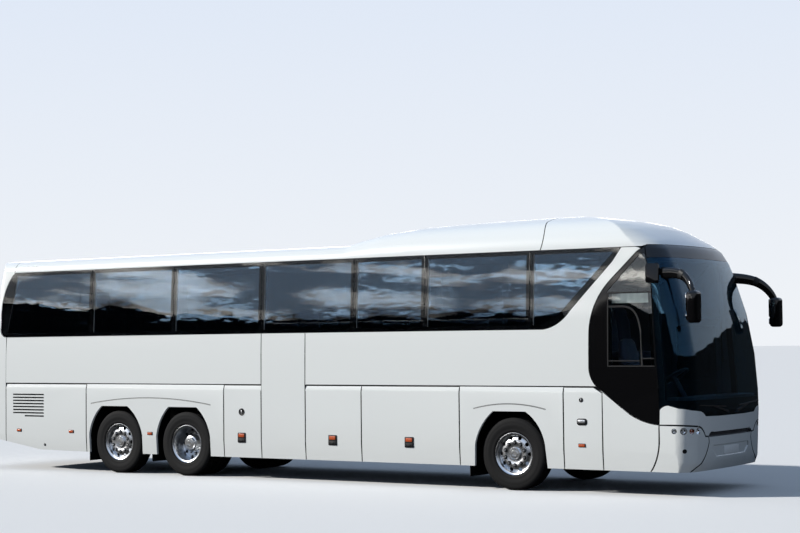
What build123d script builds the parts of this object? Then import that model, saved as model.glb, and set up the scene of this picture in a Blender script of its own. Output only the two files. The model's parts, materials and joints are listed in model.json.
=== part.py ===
from build123d import *
import os
from math import atan2, cos, pi, radians, sin, sqrt

# Three-axle touring coach, right-hand drive. Millimetres, +X forward, +Y to the coach's left, +Z up.
# Every station below is measured forward from the front axle, and every height from the ground.
# The finished pieces are moved once, so that the origin is the middle of the whole coach on the ground.

# Driving dimensions
FRONT_OVERHANG = 2825
WHEELBASE = 6060
TAG_SPACING = 1470
REAR_OVERHANG = 3050
MIRROR_REACH = 195
BODY_WIDTH = 2550
TYRE_RADIUS = 515
TYRE_WIDTH = 295

DRIVE_AXLE = -WHEELBASE
TAG_AXLE = DRIVE_AXLE - TAG_SPACING
TAIL = TAG_AXLE - REAR_OVERHANG
ORIGIN_SHIFT = -(TAIL + FRONT_OVERHANG + MIRROR_REACH) / 2

# Heights on the body side, from the skirt's edge to the cant rail over the windows
SILL = 335
SHOULDER = 600
FLAP_TOP = 1462
RAIL_LOW = 1470
SEAM = 1486
BELT = 2281
CANT = 3395
FLOOR_LOW = 1420

# Half widths of the body at those heights
HALF_SIDE = BODY_WIDTH / 2
HALF_SILL = HALF_SIDE - 17
HALF_BELT = HALF_SIDE - 10
HALF_CANT = HALF_SIDE - 70
LEAN = atan2(HALF_BELT - HALF_CANT, CANT - BELT)

# Thicknesses, each measured in from the outer skin
GLASS = 10
PRESSING = 4
LAMP_SET_BACK = 12
RECESS = 8
WIPER_RISE = 14
RAIL_SET_BACK = 30
SKIRT = 40
WALL = 60
FLAP_CLEARANCE = 50
GAP = 3

# Roof line: station, height of the crown, radius of the roof's edge
ROOF_LINE = (
    (-10800, 3648, 205),
    (-2950, 3648, 205),
    (-2740, 3722, 282),
    (-2350, 3822, 377),
    (-1800, 3880, 430),
    (-900, 3908, 452),
    (300, 3925, 465),
    (3100, 3925, 465),
)

# Plan of the body at each height: height, nose, nose bow radius, nose corner radius, tail, tail corner radius
TAIL_BOW = 9000
BODY_PLAN = (
    (300, 2735, 12000, 240, TAIL + 90, 230),
    (450, 2795, 12000, 260, TAIL + 15, 250),
    (1100, FRONT_OVERHANG, 12000, 260, TAIL, 260),
    (1400, 2820, 12000, 260, TAIL, 260),
    (1900, 2783, 12000, 270, TAIL, 260),
    (2480, 2684, 10000, 270, TAIL + 20, 260),
    (2830, 2584, 8500, 280, TAIL + 55, 260),
    (3050, 2521, 7500, 290, TAIL + 85, 260),
    (3200, 2475, 6500, 310, TAIL + 110, 260),
    (3370, 2395, 5000, 360, TAIL + 150, 260),
    (3480, 2275, 4000, 430, TAIL + 175, 260),
    (3570, 2142, 3300, 500, TAIL + 200, 260),
    (3660, 1995, 2800, 560, TAIL + 260, 260),
    (3740, 1805, 2550, 620, TAIL + 380, 260),
    (3800, 1580, 2400, 660, TAIL + 480, 260),
    (3860, 1180, 2400, 700, TAIL + 480, 260),
    (3920, 640, 2400, 700, TAIL + 480, 260),
    (4000, 100, 2400, 700, TAIL + 480, 260),
)

# Side view, stations of the seams between the lower panels
FRONT_SEAM = 1452
DOOR_REAR = 1360
DOOR_FRONT = 2160
ARCH_FRONT = 848
ARCH_REAR = -851
HOLD_MIDDLE = -2576
HOLD_REAR = -3621
MIDDLE_REAR = -4478
SERVICE_REAR = -5229
ENGINE_FRONT = -8199
TAIL_SEAM = -10100
RAIL_FRONT = 1345
REAR_MODULE = -9950

# Side view, outlines of (station, height). A point of four numbers ends an arc: through one place to the next
GLASS_BAND = (
    (-10133, BELT), (-10212, 2322, -10240, 2440), (-10238, 2700), (-10150, 3110, REAR_MODULE, CANT),
    (1742, CANT), (1607, 3205), (964, 2543), (727, 2340, 540, BELT),
)
WALL_OUTLINE = (
    (TAIL_SEAM, SEAM), (TAIL_SEAM, BELT - 1), (-10134, BELT - 1), (-10213, 2322, -10241, 2440), (-10239, 2700),
    (-10151, 3110, REAR_MODULE - 1, CANT), (2085, CANT), (2085, SEAM),
)
BEHIND_TAIL = TAIL - 200
TAIL_OUTLINE = (
    (BEHIND_TAIL, 300), (TAIL_SEAM - GAP, 300), (TAIL_SEAM - GAP, BELT - 4), (-10137, BELT - 4),
    (-10216, 2322, -10244, 2440), (-10242, 2700), (-10154, 3110, REAR_MODULE - 4, CANT), (REAR_MODULE - 4, 4000),
    (BEHIND_TAIL, 4000),
)
CAP_EDGE = ((482, CANT), (512, 3590, 432, 3810), (370, 3960))
HEADER_TOP = 3420
PILLARS = (-8110, -6300, -4490, -2725, -1455, 315)
A_PILLAR = ((2298, 976), (2304, 1172), (2300, 1474), (2274, 1797), (2200, 2872), (2085, CANT))
CAB_OUTLINE = (
    *A_PILLAR, (1969, 3316), (1579, 2944), (1349, 2620, 1255, 2200), (1252, 1736), (1300, 1570, 1453, 1421),
    (1752, 1198), (2000, 1048, 2298, 976),
)
BUMPER_SEAM = ((2140, 250), (2165, 335), (2263, 527, 2301, 760), (2301, 976), (2307, 1172))
CORNER_PANEL = (
    (FRONT_SEAM + GAP, 250), (2132, 250), (2157, 335), (2255, 527, 2293, 760), (2293, 970),
    (1998, 1041, 1750, 1191), (FRONT_SEAM + GAP, 1411),
)
FRONT_ARCH = (
    (-612, 250), (-590, 660), (-478, 920, -290, 1122), (240, 1122), (452, 915, 558, 600), (588, 250),
)
TAG_ARCH = (
    (-600, 250), (-600, 640), (-487, 930, -317, 1110), (253, 1110), (449, 925, 579, 640), (579, 250),
)
DRIVE_ARCH = (
    (-587, 250), (-587, 640), (-483, 925, -327, 1110), (264, 1110), (436, 925, 550, 640), (550, 250),
)
FRONT_CREASE = ((-606, 1155), (-51, 1227, 561, 1157))
REAR_CREASE = ((-8085, 1146), (-6773, 1250, -5506, 1151))
TAIL_SWEEP = ((-8156, 250), (-8156, 335), (-9275, 347), (-10096, 474), (-10700, 578), (-10700, 250))
CORNER_CUT = ((1310, FLAP_TOP), (1310, 1500), (1600, 1500), (1600, 1300))
CAB_WINDOW = ((1540, 1735), (2255, 1735), (2190, 2860), (2095, 3290), (2030, 3290), (1540, 2790))
CAB_DAYLIGHT = ((1580, 1775), (2200, 1775), (2140, 2850), (2060, 3220), (2040, 3220), (1580, 2760))

# Side view of the passenger door: front, rear, bottom, top
DOORWAY = (DOOR_FRONT, DOOR_REAR, 380, 2440)
DOOR_GLASS = (2115, 1410, 820, 2360)
DOOR_DAYLIGHT = (2075, 1450, 860, 2320)

# Tail: stations, then (widths), (heights)
TAIL_ZONE = (BEHIND_TAIL, TAIL + 300)
REAR_WINDOW = ((-900, 900), (2400, 3150))
ENGINE_DOOR = ((-900, 900), (560, 1560))
REAR_LAMP = ((985, 1155), (900, 1400))
LENSES = ((900, 1062), (1070, 1230), (1238, 1400))
ENGINE_DOOR_SLOTS = [700 + 55 * k for k in range(6)]

# Louvre in the engine's side flap: rear and front of the slots, the shortest slot's rear, heights of their lower lips
LOUVRE = (-9924, -9188)
SHORT_SLOT = -9640
SLOT_HEIGHTS = [911 + 52.6 * k for k in range(8)]

# Windscreen and header, heights on the nose
WINDSCREEN_LOW = 976
WINDSCREEN_TOP = 3235
WIPER_BLADE = ((-1040, 1224), (-1040, 1238), (-240, 1198), (-240, 1184))
WIPER_ARM = ((-140, 1100), (-170, 1135), (-640, 1222), (-640, 1206))

# Bumper in front view, (width, height) for the left half: its top edge, then the seams and recesses in it
BUMPER_TOP = (
    (1400, 1260), (1268, 1260), (1254, 1195), (1170, 1173), (986, 1153), (925, 1132, 850, 1083), (461, 1075),
)
BUMPER_SIDE_TOP = ((2307, 1172), (2370, 1222, 2440, 1236), (2598, 1195), (3200, 1195))
SEAM_WIDTH = 8
LAMP_SEAM = ((1400, 967), (1276, 967), (1034, 946), (914, 885, 850, 808), (740, 798))
CENTRE_SEAM = ((755, 812), (735, 725), (837, 541, 1058, 393), (1200, 300))
GRILLE_SLOT = (
    (-762, 800), (-720, 845, -602, 857), (602, 857), (720, 845, 762, 800), (700, 790), (-700, 790),
)
GRILLE_PLATE = ((-780, 780), (780, 780), (780, 870), (-780, 870))
GRILLE_BARS = (812, 834)
PLATE_RECESS = (
    (-490, 520), (-600, 600), (-628, 650, -570, 672), (570, 672), (628, 650, 600, 600), (490, 520),
)

# Front lamps of the left side: station, width, turn of the lamp from straight ahead, radius
LAMP_HEIGHT = 888
FRONT_LAMPS = (
    (2515, 1274, 86, 38),
    (2634, 1232, 52, 48),
    (2713, 1152, 30, 42),
    (2753, 1046, 12, 48),
)

# Wheels: half track of a single tyre, and of the outer and inner tyre of the twins
SINGLE_TRACK = 1065
TWIN_OUTER = 1075
TWIN_INNER = 740
SIDES = 36
RIM_SEAT = 286
RIM_INSIDE = 262
RIM_HALF = 118
KINGPIN = 880
STEERING_ARM = 200
TRACK_ROD_HEIGHT = 385

# Hand holes of a wheel's disc: radius of their circle, radius of a hole
HAND_HOLE_CIRCLE = 226
HAND_HOLE = 27

# Structure: widths of the beams along the coach, heights of the cab's floor, widths inside the lower body
BEAM = (350, 430)
CAB_FLOOR = (880, 920)
FRONT_CROSSBEAM = 2500
HOUSING = (470, 1215)
MUDFLAP = (600, 1210)
LOCKER = (760, 1210)

# Seats: station of the first row, pitch, number of rows, widths of a pair
FIRST_SEAT = 700
SEAT_PITCH = 810
SEAT_ROWS = 13
SEAT_PAIR = (290, 1180)
DRIVER_SEAT = 1600

# Points of (station, width, height) and boxes
TOW_JAW = ((2560, 2680), (-60, 60), (345, 425))
TOW_PIN = (2630, 0)
STEERING_WHEEL = (2230, -620, 1590)
WHEEL_RAKE = -34
MIRROR_HEAD = ((2850, 3020), (1310, 1530), (2335, 2735))
MIRROR_ARM = ((2200, 1120, 3040), (2560, 1225, 3045), (2750, 1300, 2960), (2935, 1410, 2700))


def flat(*shapes):
    """All the solids in some shapes."""
    found = []
    for shape in shapes:
        if isinstance(shape, (list, tuple)):
            found += flat(*shape)
        else:
            found += list(shape.solids())
    return found


# Where a flat outline's points lie, and which way it is drawn out
PLACES = {
    "XZ": (lambda level, x, z: (x, level, z), (0, 1, 0)),
    "YZ": (lambda level, y, z: (level, y, z), (1, 0, 0)),
    "XY": (lambda level, x, y: (x, y, level), (0, 0, 1)),
}


def line(points, plane, level, close=True):
    """A run of lines and arcs: a point of two numbers ends a line, one of four ends an arc through its first two."""
    spot = PLACES[plane][0]
    at = points[0][-2:]
    edges = []
    for point in (*points[1:], *(points[:1] if close else ())):
        end = point[-2:]
        if len(point) == 4:
            edges.append(Edge.make_three_point_arc(spot(level, *at), spot(level, *point[:2]), spot(level, *end)))
        elif end != at:
            edges.append(Edge.make_line(spot(level, *at), spot(level, *end)))
        at = end
    return Wire(edges)


def prism(points, plane, low, high):
    """An outline drawn out straight: plane names the two axes that the outline's points give."""
    way = Vector(*PLACES[plane][1]) * (high - low)
    return Solid.extrude(Face(line(points, plane, low)), way)


def strip(points, width, plane, low, high):
    """A band of even width along an open run of lines and arcs, drawn out like a prism."""
    outline = line(points, plane, low, close=False).offset_2d(width / 2, kind=Kind.INTERSECTION)
    return Solid.extrude(Face(outline), Vector(*PLACES[plane][1]) * (high - low))


def shifted(points, along):
    """A side-view outline moved along the coach."""
    return [tuple(value + along * (k % 2 == 0) for k, value in enumerate(point)) for point in points]


def block(x, y, z):
    """A box between two stations, two widths and two heights."""
    return Solid.make_box(x[1] - x[0], y[1] - y[0], z[1] - z[0], Plane((x[0], y[0], z[0])))


def rod(start, end, radius):
    """A round bar between two points."""
    way = Vector(*end) - Vector(*start)
    return Solid.make_cylinder(radius, way.length, Plane(origin=start, z_dir=way))


def side_of(points, side, width=1500):
    """A side-view outline drawn out over one half of the coach."""
    return prism(points, "XZ", *((0, width) if side > 0 else (-width, 0)))


def span(front, rear, low, high):
    """A rectangle in side view."""
    return ((rear, low), (front, low), (front, high), (rear, high))


def strip_side(points, width, side):
    """A narrow band in side view, over one half of the coach."""
    return strip(points, width, "XZ", *((0, 1500) if side > 0 else (-1500, 0)))


def mirrored(points):
    """A front-view outline of the left half and its mirror image, as one run across the coach."""
    y, z = points[-1][-2:]
    back = [(-y, z)]
    for point, before in zip(points[:0:-1], points[-2::-1]):
        y, z = before[-2:]
        through = (-point[0], point[1]) if len(point) == 4 else ()
        back.append((*through, -y, z))
    return [*points, *back]


def both(shape):
    """A shape and its mirror image across the coach."""
    return flat(shape, [s.mirror(Plane.XZ) for s in flat(shape)])


# Body: one tube of cross sections along the coach, cut to one stack of plans
def half_width(height):
    rows = ((0, HALF_SIDE), (SEAM, HALF_SIDE), (BELT, HALF_BELT), (CANT, HALF_CANT), (9999, HALF_CANT))
    for (z0, w0), (z1, w1) in zip(rows, rows[1:]):
        if height <= z1:
            return w0 + (w1 - w0) * (height - z0) / (z1 - z0)


def cross_section(station, crown, edge_radius, inset):
    """Sides, roof edges and crown, with the edge arc tangent to the window's lean and to the crown."""
    centre_y = HALF_CANT - edge_radius * cos(LEAN)
    centre_z = CANT - edge_radius * sin(LEAN)
    rise = crown - centre_z
    crown_radius = (centre_y ** 2 + rise ** 2 - edge_radius ** 2) / (2 * (rise - edge_radius))
    turn = atan2(centre_z - (crown - crown_radius), centre_y)
    radius = edge_radius - inset

    def on_edge(angle):
        return centre_y + radius * cos(angle), centre_z + radius * sin(angle)

    side = [(HALF_SILL - inset, SILL), (HALF_SIDE - inset, SHOULDER), (HALF_SIDE - inset, SEAM),
            (HALF_BELT - inset, BELT), on_edge(LEAN)]
    middle = on_edge((LEAN + turn) / 2)
    top = on_edge(turn)
    left = [(station, y, z) for y, z in side]
    right = [(station, -y, z) for y, z in side]
    edges = [Edge.make_line(right[0], left[0])]
    edges += [Edge.make_line(a, b) for a, b in zip(left, left[1:])]
    edges += [
        Edge.make_three_point_arc(left[-1], (station, *middle), (station, *top)),
        Edge.make_three_point_arc((station, *top), (station, 0, crown - inset), (station, -top[0], top[1])),
        Edge.make_three_point_arc((station, -top[0], top[1]), (station, -middle[0], middle[1]), right[-1]),
    ]
    edges += [Edge.make_line(a, b) for a, b in zip(right[::-1], right[-2::-1])]
    return Wire(edges)


def end_points(height, reach, bow, corner, inset, way):
    """One end's plan: bow and corner arcs that run tangent into each other and into the side."""
    width = half_width(height) + 1
    bow_x = reach - bow
    corner_y = width - corner
    corner_x = bow_x + sqrt((bow - corner) ** 2 - corner_y ** 2)
    meet = atan2(corner_y, corner_x - bow_x)

    def on_corner(angle, side):
        x = corner_x + (corner - inset) * cos(angle)
        y = corner_y + (corner - inset) * sin(angle)
        return way * x, side * y, height

    points = {"tip": (way * (reach - inset), 0, height)}
    for name, side in (("left", 1), ("right", -1)):
        points[name] = [on_corner(angle, side) for angle in (meet, (meet + pi / 2) / 2, pi / 2)]
    return points


def plan(height, nose, bow, nose_corner, tail, tail_corner, inset):
    front = end_points(height, nose, bow, nose_corner, inset, 1)
    rear = end_points(height, -tail, TAIL_BOW, tail_corner, inset, -1)
    arc = Edge.make_three_point_arc
    return Wire([
        arc(front["right"][0], front["tip"], front["left"][0]),
        arc(*front["left"]),
        Edge.make_line(front["left"][2], rear["left"][2]),
        arc(*rear["left"][::-1]),
        arc(rear["left"][0], rear["tip"], rear["right"][0]),
        arc(*rear["right"]),
        Edge.make_line(rear["right"][2], front["right"][2]),
        arc(*front["right"][::-1]),
    ])


def body(inset):
    tube = Solid.make_loft([cross_section(*row, inset) for row in ROOF_LINE], ruled=True)
    stack = Solid.make_loft([plan(*row, inset) for row in BODY_PLAN], ruled=True)
    return (tube & stack).solids()[0]


SKIN = body(0)
GLASS_BACK = body(GLASS)
SKIRT_BACK = body(SKIRT)
LINING = body(WALL)
OUTSIDE_GLASS = block((TAIL - 500, 3500), (-2000, 2000), (-200, 4500)) - GLASS_BACK


def wall(region):
    """The part of the body's wall that lies in a region."""
    return (SKIN & region) - LINING


def pane(region):
    """Glass that is flush with the skin."""
    return (SKIN & region) - GLASS_BACK


def skirt(region):
    """Lower panel, thinner than a wall, with its edge swept up behind the tag axle."""
    return (SKIN & region) - SKIRT_BACK - prism(TAIL_SWEEP, "XZ", -1500, 1500)


# Upper body
def slanted_ends():
    """Daylight openings of the first and the last window, whose outer ends slope."""
    rear = ((-8170, 2341), (-10090, 2341), (-9890, 3335), (-8170, 3335))
    front = ((375, 2341), (500, 2341), (760, 2470), (1620, 3335), (375, 3335))
    return rear, front


def daylight():
    openings = list(slanted_ends())
    for rear, front in zip(PILLARS, PILLARS[1:]):
        openings.append(span(front - 60, rear + 60, 2341, 3335))
    return openings


def side_wall(side):
    """Panel below the windows, window pillars, and the slanted white band in front of the last window."""
    panel = wall(side_of(WALL_OUTLINE, side))
    panel -= side_of(CAB_OUTLINE, side)
    if side > 0:
        panel -= side_of(span(*DOORWAY), side)
    panel -= OUTSIDE_GLASS & side_of(GLASS_BAND, side)
    panel -= side_of(span(HOLD_REAR, MIDDLE_REAR, SEAM - 50, BELT), side)
    for outline in daylight():
        panel -= side_of(outline, side)
    return flat(panel)


def side_panes(side):
    """The bonded panes, set flush in the band with a narrow joint at each pillar."""
    glass = pane(side_of(GLASS_BAND, side))
    for station in PILLARS:
        glass -= side_of(span(station + 6, station - 6, BELT - 50, CANT + 50), side)
    return flat(glass)


def roof():
    outline = ((REAR_MODULE, CANT), *shifted(CAP_EDGE, -SEAM_WIDTH), (REAR_MODULE, 3960))
    return flat(wall(prism(outline, "XZ", -1500, 1500)))


def roof_front_cap():
    outline = (*CAP_EDGE, (3200, 3960), (3200, HEADER_TOP), (2100, HEADER_TOP), (2040, CANT))
    return flat(wall(prism(outline, "XZ", -1500, 1500)))


def rear_module():
    """Tail of the body behind the tail seam, cut for its window, engine cover and lamps."""
    shell = wall(prism(TAIL_OUTLINE, "XZ", -1500, 1500)) - prism(TAIL_SWEEP, "XZ", -1500, 1500)
    shell -= block(TAIL_ZONE, *REAR_WINDOW)
    shell -= block(TAIL_ZONE, *ENGINE_DOOR)
    for region in lamp_regions():
        shell -= region
    return flat(shell)


def rear_window():
    return flat(pane(block(TAIL_ZONE, *REAR_WINDOW)))


def engine_door():
    y, z = ENGINE_DOOR
    door = wall(block(TAIL_ZONE, (y[0] + 6, y[1] - 6), (z[0] + 12, z[1] - 10)))
    for height in ENGINE_DOOR_SLOTS:
        door -= block(TAIL_ZONE, (-620, 620), (height, height + 16))
    return flat(door)


def lamp_regions():
    return both(block(TAIL_ZONE, *REAR_LAMP))


def rear_lamps():
    """Three lenses, one over the other, on each side."""
    lenses = both([block(TAIL_ZONE, REAR_LAMP[0], heights) for heights in LENSES])
    return flat([skirt(region) for region in lenses])


# Cab sides
def cab_side(side):
    """Black cab side with its window, and on the left with the doorway cut out of it."""
    panel = wall(side_of(CAB_OUTLINE, side))
    panel -= OUTSIDE_GLASS & side_of(CAB_WINDOW, side)
    panel -= side_of(CAB_DAYLIGHT, side)
    if side > 0:
        panel -= side_of(span(*DOORWAY), side)
    return [s for s in flat(panel) if s.volume > 1e6]


def cab_glass():
    right = pane(side_of(CAB_WINDOW, -1))
    left = pane(side_of(CAB_WINDOW, 1)) - side_of(span(*DOORWAY), 1)
    door = pane(side_of(span(*DOOR_GLASS), 1))
    return flat(right, left, door)


def front_door():
    front, rear, low, high = DOORWAY
    door = wall(side_of(span(front - GAP, rear + GAP, low + GAP, high - GAP), 1))
    door -= OUTSIDE_GLASS & side_of(span(*DOOR_GLASS), 1)
    door -= side_of(span(*DOOR_DAYLIGHT), 1)
    return flat(door)


# Nose
def bumper_region():
    """Side view ahead of the side seam, front view below a top edge that steps down in the middle."""
    side = prism((*BUMPER_SEAM, *BUMPER_SIDE_TOP[1:], (3200, 250)), "XZ", -1500, 1500)
    front = prism(((-1400, 250), (1400, 250), *mirrored(BUMPER_TOP)), "YZ", 1800, 3200)
    return side & front


def nose_region(low, high, set_back=0):
    """Everything ahead of the front pillars between two heights, moved forward by set_back."""
    outline = shifted(A_PILLAR, set_back)
    top = HEADER_TOP - GAP
    ahead = prism((*outline, (2100 + set_back, top), (3200, top), (3200, WINDSCREEN_LOW)), "XZ", -1500, 1500)
    return ahead & block((1800, 3300), (-1500, 1500), (low, high))


BUMPER = bumper_region()


def lamp_rods(back, front):
    """Round bars through the lamp places of the left side, along the way that each lamp looks."""
    rods = []
    for station, y, turn, radius in FRONT_LAMPS:
        way = (cos(radians(turn)), sin(radians(turn)))
        start = (station - back * way[0], y - back * way[1], LAMP_HEIGHT)
        end = (station + front * way[0], y + front * way[1], LAMP_HEIGHT)
        rods.append(rod(start, end, radius))
    return rods


def front_bumper():
    """Upper band, two corners and the middle piece, parted by open seams and by the grille's slot."""
    bumper = skirt(BUMPER)
    for seam in (LAMP_SEAM, CENTRE_SEAM):
        bumper -= both(strip(seam, SEAM_WIDTH, "YZ", 1800, 3200))
    bumper -= prism(GRILLE_SLOT, "YZ", 1800, 3200)
    bumper -= both(lamp_rods(80, 80))
    bumper -= prism(PLATE_RECESS, "YZ", 1800, 3200) - body(RECESS)
    return flat(bumper)


def head_lamps():
    """Lamp units set a little back in their round holes."""
    units = body(LAMP_SET_BACK) - SKIRT_BACK
    return both([flat(unit & units) for unit in lamp_rods(80, 80)])


def windscreen():
    return flat(pane(nose_region(WINDSCREEN_LOW, WINDSCREEN_TOP, GAP)) - BUMPER)


def wipers():
    """Blade and arm of each wiper, lying on the lower part of the windscreen."""
    outlines = Part() + [prism(points, "YZ", 2500, 3200) for points in (WIPER_BLADE, WIPER_ARM)]
    layer = body(-WIPER_RISE)
    return both([flat(layer & piece) for piece in flat(outlines - SKIN)])


def header():
    return flat(wall(nose_region(WINDSCREEN_TOP, HEADER_TOP, GAP)))


def windscreen_frame():
    frame = wall(nose_region(WINDSCREEN_LOW, WINDSCREEN_TOP, GAP)) - BUMPER
    frame -= OUTSIDE_GLASS
    frame -= nose_region(1300, WINDSCREEN_TOP - 60, 90)
    return flat(frame)


# Lower panels, fixed and hinged
def lower_region(front, rear, top, gap=GAP):
    return span(front - gap, rear + gap, 250, top)


def bevel(side):
    """The bright slope along the top of every lower panel."""
    outline = ((HALF_SIDE, 1385), (HALF_SIDE - 20, RAIL_LOW), (HALF_SIDE + 30, RAIL_LOW),
               (HALF_SIDE + 30, 1385))
    return prism([(side * y, z) for y, z in outline], "YZ", -12000, 4000)


def arch(outline, station, side):
    return side_of(shifted(outline, station), side)


def lower_panels(side):
    """The fixed panels: over the front arch, behind the hold, over the rear arches, and beside the cab."""
    cut = bevel(side)
    pressing = body(PRESSING)
    front = skirt(side_of(lower_region(ARCH_FRONT, ARCH_REAR, RAIL_LOW), side))
    front -= arch(FRONT_ARCH, 0, side)
    front -= strip_side(FRONT_CREASE, 6, side) - pressing
    rear = skirt(side_of(lower_region(SERVICE_REAR, ENGINE_FRONT, RAIL_LOW), side))
    rear -= arch(TAG_ARCH, TAG_AXLE, side)
    rear -= arch(DRIVE_ARCH, DRIVE_AXLE, side)
    rear -= strip_side(REAR_CREASE, 6, side) - pressing
    middle = wall(side_of(span(HOLD_REAR - GAP, MIDDLE_REAR + GAP, 300, BELT), side))
    middle -= block((-5000, -3000), (-1245, 1245), (RAIL_LOW, SEAM))
    panels = flat(front - cut, rear - cut, middle)
    corner = skirt(side_of(CORNER_PANEL, side))
    if side > 0:
        corner -= side_of(span(*DOORWAY), side)
        corner = [s for s in flat(corner) if s.bounding_box().max.X > DOOR_FRONT + 50]
    return panels + flat(corner)


# name, front seam, rear seam
FLAPS = (
    ("flap_front_service", FRONT_SEAM, ARCH_FRONT),
    ("flap_hold_front", ARCH_REAR, HOLD_MIDDLE),
    ("flap_hold_rear", HOLD_MIDDLE, HOLD_REAR),
    ("flap_rear_service", MIDDLE_REAR, SERVICE_REAR),
    ("flap_engine_side", ENGINE_FRONT, TAIL_SEAM),
)


def louvre_slot(height, side):
    """A slot that rises inwards through the skirt, so that rain stays out."""
    slope = ((HALF_SIDE + 20, height - 15), (HALF_SIDE + 20, height - 1), (HALF_SIDE - 60, height + 59),
             (HALF_SIDE - 60, height + 45))
    rear = SHORT_SLOT if height == SLOT_HEIGHTS[0] else LOUVRE[0]
    return prism([(side * y, z) for y, z in slope], "YZ", rear, LOUVRE[1])


def flap(front, rear, side):
    if side > 0 and front == FRONT_SEAM:
        front = DOOR_REAR - GAP
    panel = skirt(side_of(lower_region(front, rear, FLAP_TOP), side))
    panel -= bevel(side)
    panel -= side_of(CORNER_CUT, side)
    if front == ENGINE_FRONT:
        panel -= [louvre_slot(height, side) for height in SLOT_HEIGHTS]
    return flat(panel)


# Structure inside the lower body
def cabin_floor():
    """Passenger floor, the step down to the cab, the cab floor and the rails that the panels hang from."""
    inner = LINING & block((TAIL, 1460), (-1500, 1500), (FLOOR_LOW, SEAM))
    rails = (body(RAIL_SET_BACK) & block((TAIL_SEAM, RAIL_FRONT), (-1500, 1500), (RAIL_LOW, SEAM))) - LINING
    step = LINING & block((1440, 1460), (-1500, 1500), (CAB_FLOOR[0], FLOOR_LOW))
    cab = SKIRT_BACK & block((1440, 3000), (-1500, 1500), CAB_FLOOR)
    cab -= side_of(span(*DOORWAY), 1) & (SKIN - LINING)
    return flat(Part() + flat(inner, rails, step, cab))


def luggage_hold():
    inside = body(FLAP_CLEARANCE)
    floor = inside & block((HOLD_REAR + 5, ARCH_REAR - 14), (-1500, 1500), (400, 440))
    rear = inside & block((HOLD_REAR + 5, HOLD_REAR + 45), (-1500, 1500), (440, FLOOR_LOW))
    front = inside & block((ARCH_REAR - 54, ARCH_REAR - 14), (-1500, 1500), (440, FLOOR_LOW))
    return flat(Part() + flat(floor, rear, front))


def wheel_housing(front, rear, axles):
    """Inverted trough over the wheels of one side: thin plates up to the cabin floor, slotted for each axle."""
    outer = block((rear, front), HOUSING, (420, FLOOR_LOW))
    outer -= block((rear + 20, front - 20), (490, 1300), (400, 1150))
    outer -= block((rear + 20, front - 20), (490, 1300), (1170, FLOOR_LOW))
    for station in axles:
        outer -= block((station - 170, station + 170), (400, 500), (400, 740))
    return outer


def wheel_housings():
    """Housings with a mudflap under the rear wall of each."""
    front = [wheel_housing(720, -720, (0,)), block((-720, -708), MUDFLAP, (175, 450))]
    rear = [wheel_housing(-5380, -8180, (DRIVE_AXLE, TAG_AXLE)), block((-8180, -8168), MUDFLAP, (190, 450))]
    return both([flat(Part() + front), flat(Part() + rear)])


def locker(front, rear):
    """Box behind a service flap, open towards the flap."""
    box = block((rear, front), LOCKER, (430, FLOOR_LOW))
    return box - block((rear + 15, front - 15), (LOCKER[0] + 15, 1400), (445, FLOOR_LOW - 15))


def service_lockers():
    right = [locker(1430, 870), locker(MIDDLE_REAR - 15, SERVICE_REAR + 15)]
    left = [locker(1340, 870), locker(MIDDLE_REAR - 15, SERVICE_REAR + 15)]
    return flat(left, [s.mirror(Plane.XZ) for s in right])


def beam_pair(front, rear, low, high):
    return both(block((rear, front), BEAM, (low, high)))


def front_subframe():
    crossbeam = (FRONT_CROSSBEAM, FRONT_CROSSBEAM + 60)
    parts = beam_pair(FRONT_CROSSBEAM, ARCH_REAR - 14, 620, 760)
    for station in (-700, 300, 1300):
        parts.append(block((station - 40, station + 40), (-350, 350), (640, 740)))
    parts.append(block(crossbeam, (-1000, 1000), (560, CAB_FLOOR[0])))
    parts.append(block(crossbeam, TOW_JAW[1], (TOW_JAW[2][0], 560)))
    parts.append(block(*TOW_JAW))
    frame = Part() + flat(parts, bumper_brackets())
    return flat(frame - rod((*TOW_PIN, 300), (*TOW_PIN, 500), 16))


def bumper_brackets():
    """Arms that carry the bumper's lower pieces, and the slotted plate behind the grille."""
    arms = both([
        block((FRONT_CROSSBEAM, 3000), (560, 640), (862, CAB_FLOOR[0])),
        block((2540, 3000), (880, 960), (640, 700)),
        block((2540, 3000), (300, 380), (700, 760)),
    ])
    plate = SKIRT_BACK & prism(GRILLE_PLATE, "YZ", 2600, 3200)
    plate -= body(SKIRT + 12)
    for height in GRILLE_BARS:
        plate -= block((2600, 3200), (-700, 700), (height, height + 8))
    return [flat(arm & SKIRT_BACK) for arm in arms] + [flat(plate)]


def rear_subframe():
    parts = beam_pair(HOLD_REAR + 5, TAIL + 80, 700, 840)
    for station in (-4800, DRIVE_AXLE + 500, TAG_AXLE - 400):
        parts.append(block((station - 40, station + 40), (-350, 350), (720, 820)))
    parts.append(both(block((-5000, -4920), BEAM, (840, FLOOR_LOW))))
    parts.append(both(block((-9980, -9900), BEAM, (840, FLOOR_LOW))))
    return flat(Part() + flat(parts))


def engine_block():
    return flat(block((-9850, -8650), (-350, 350), (560, 1330)))


# Running gear
def ring(radius, offset, sides):
    """Corners of a regular polygon across the axle, radius to its flats, one flat at the bottom."""
    corner = radius / cos(pi / sides)
    turns = [2 * pi * (k + 0.5) / sides for k in range(sides)]
    return [(corner * sin(a), offset, -corner * cos(a)) for a in turns]


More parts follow.
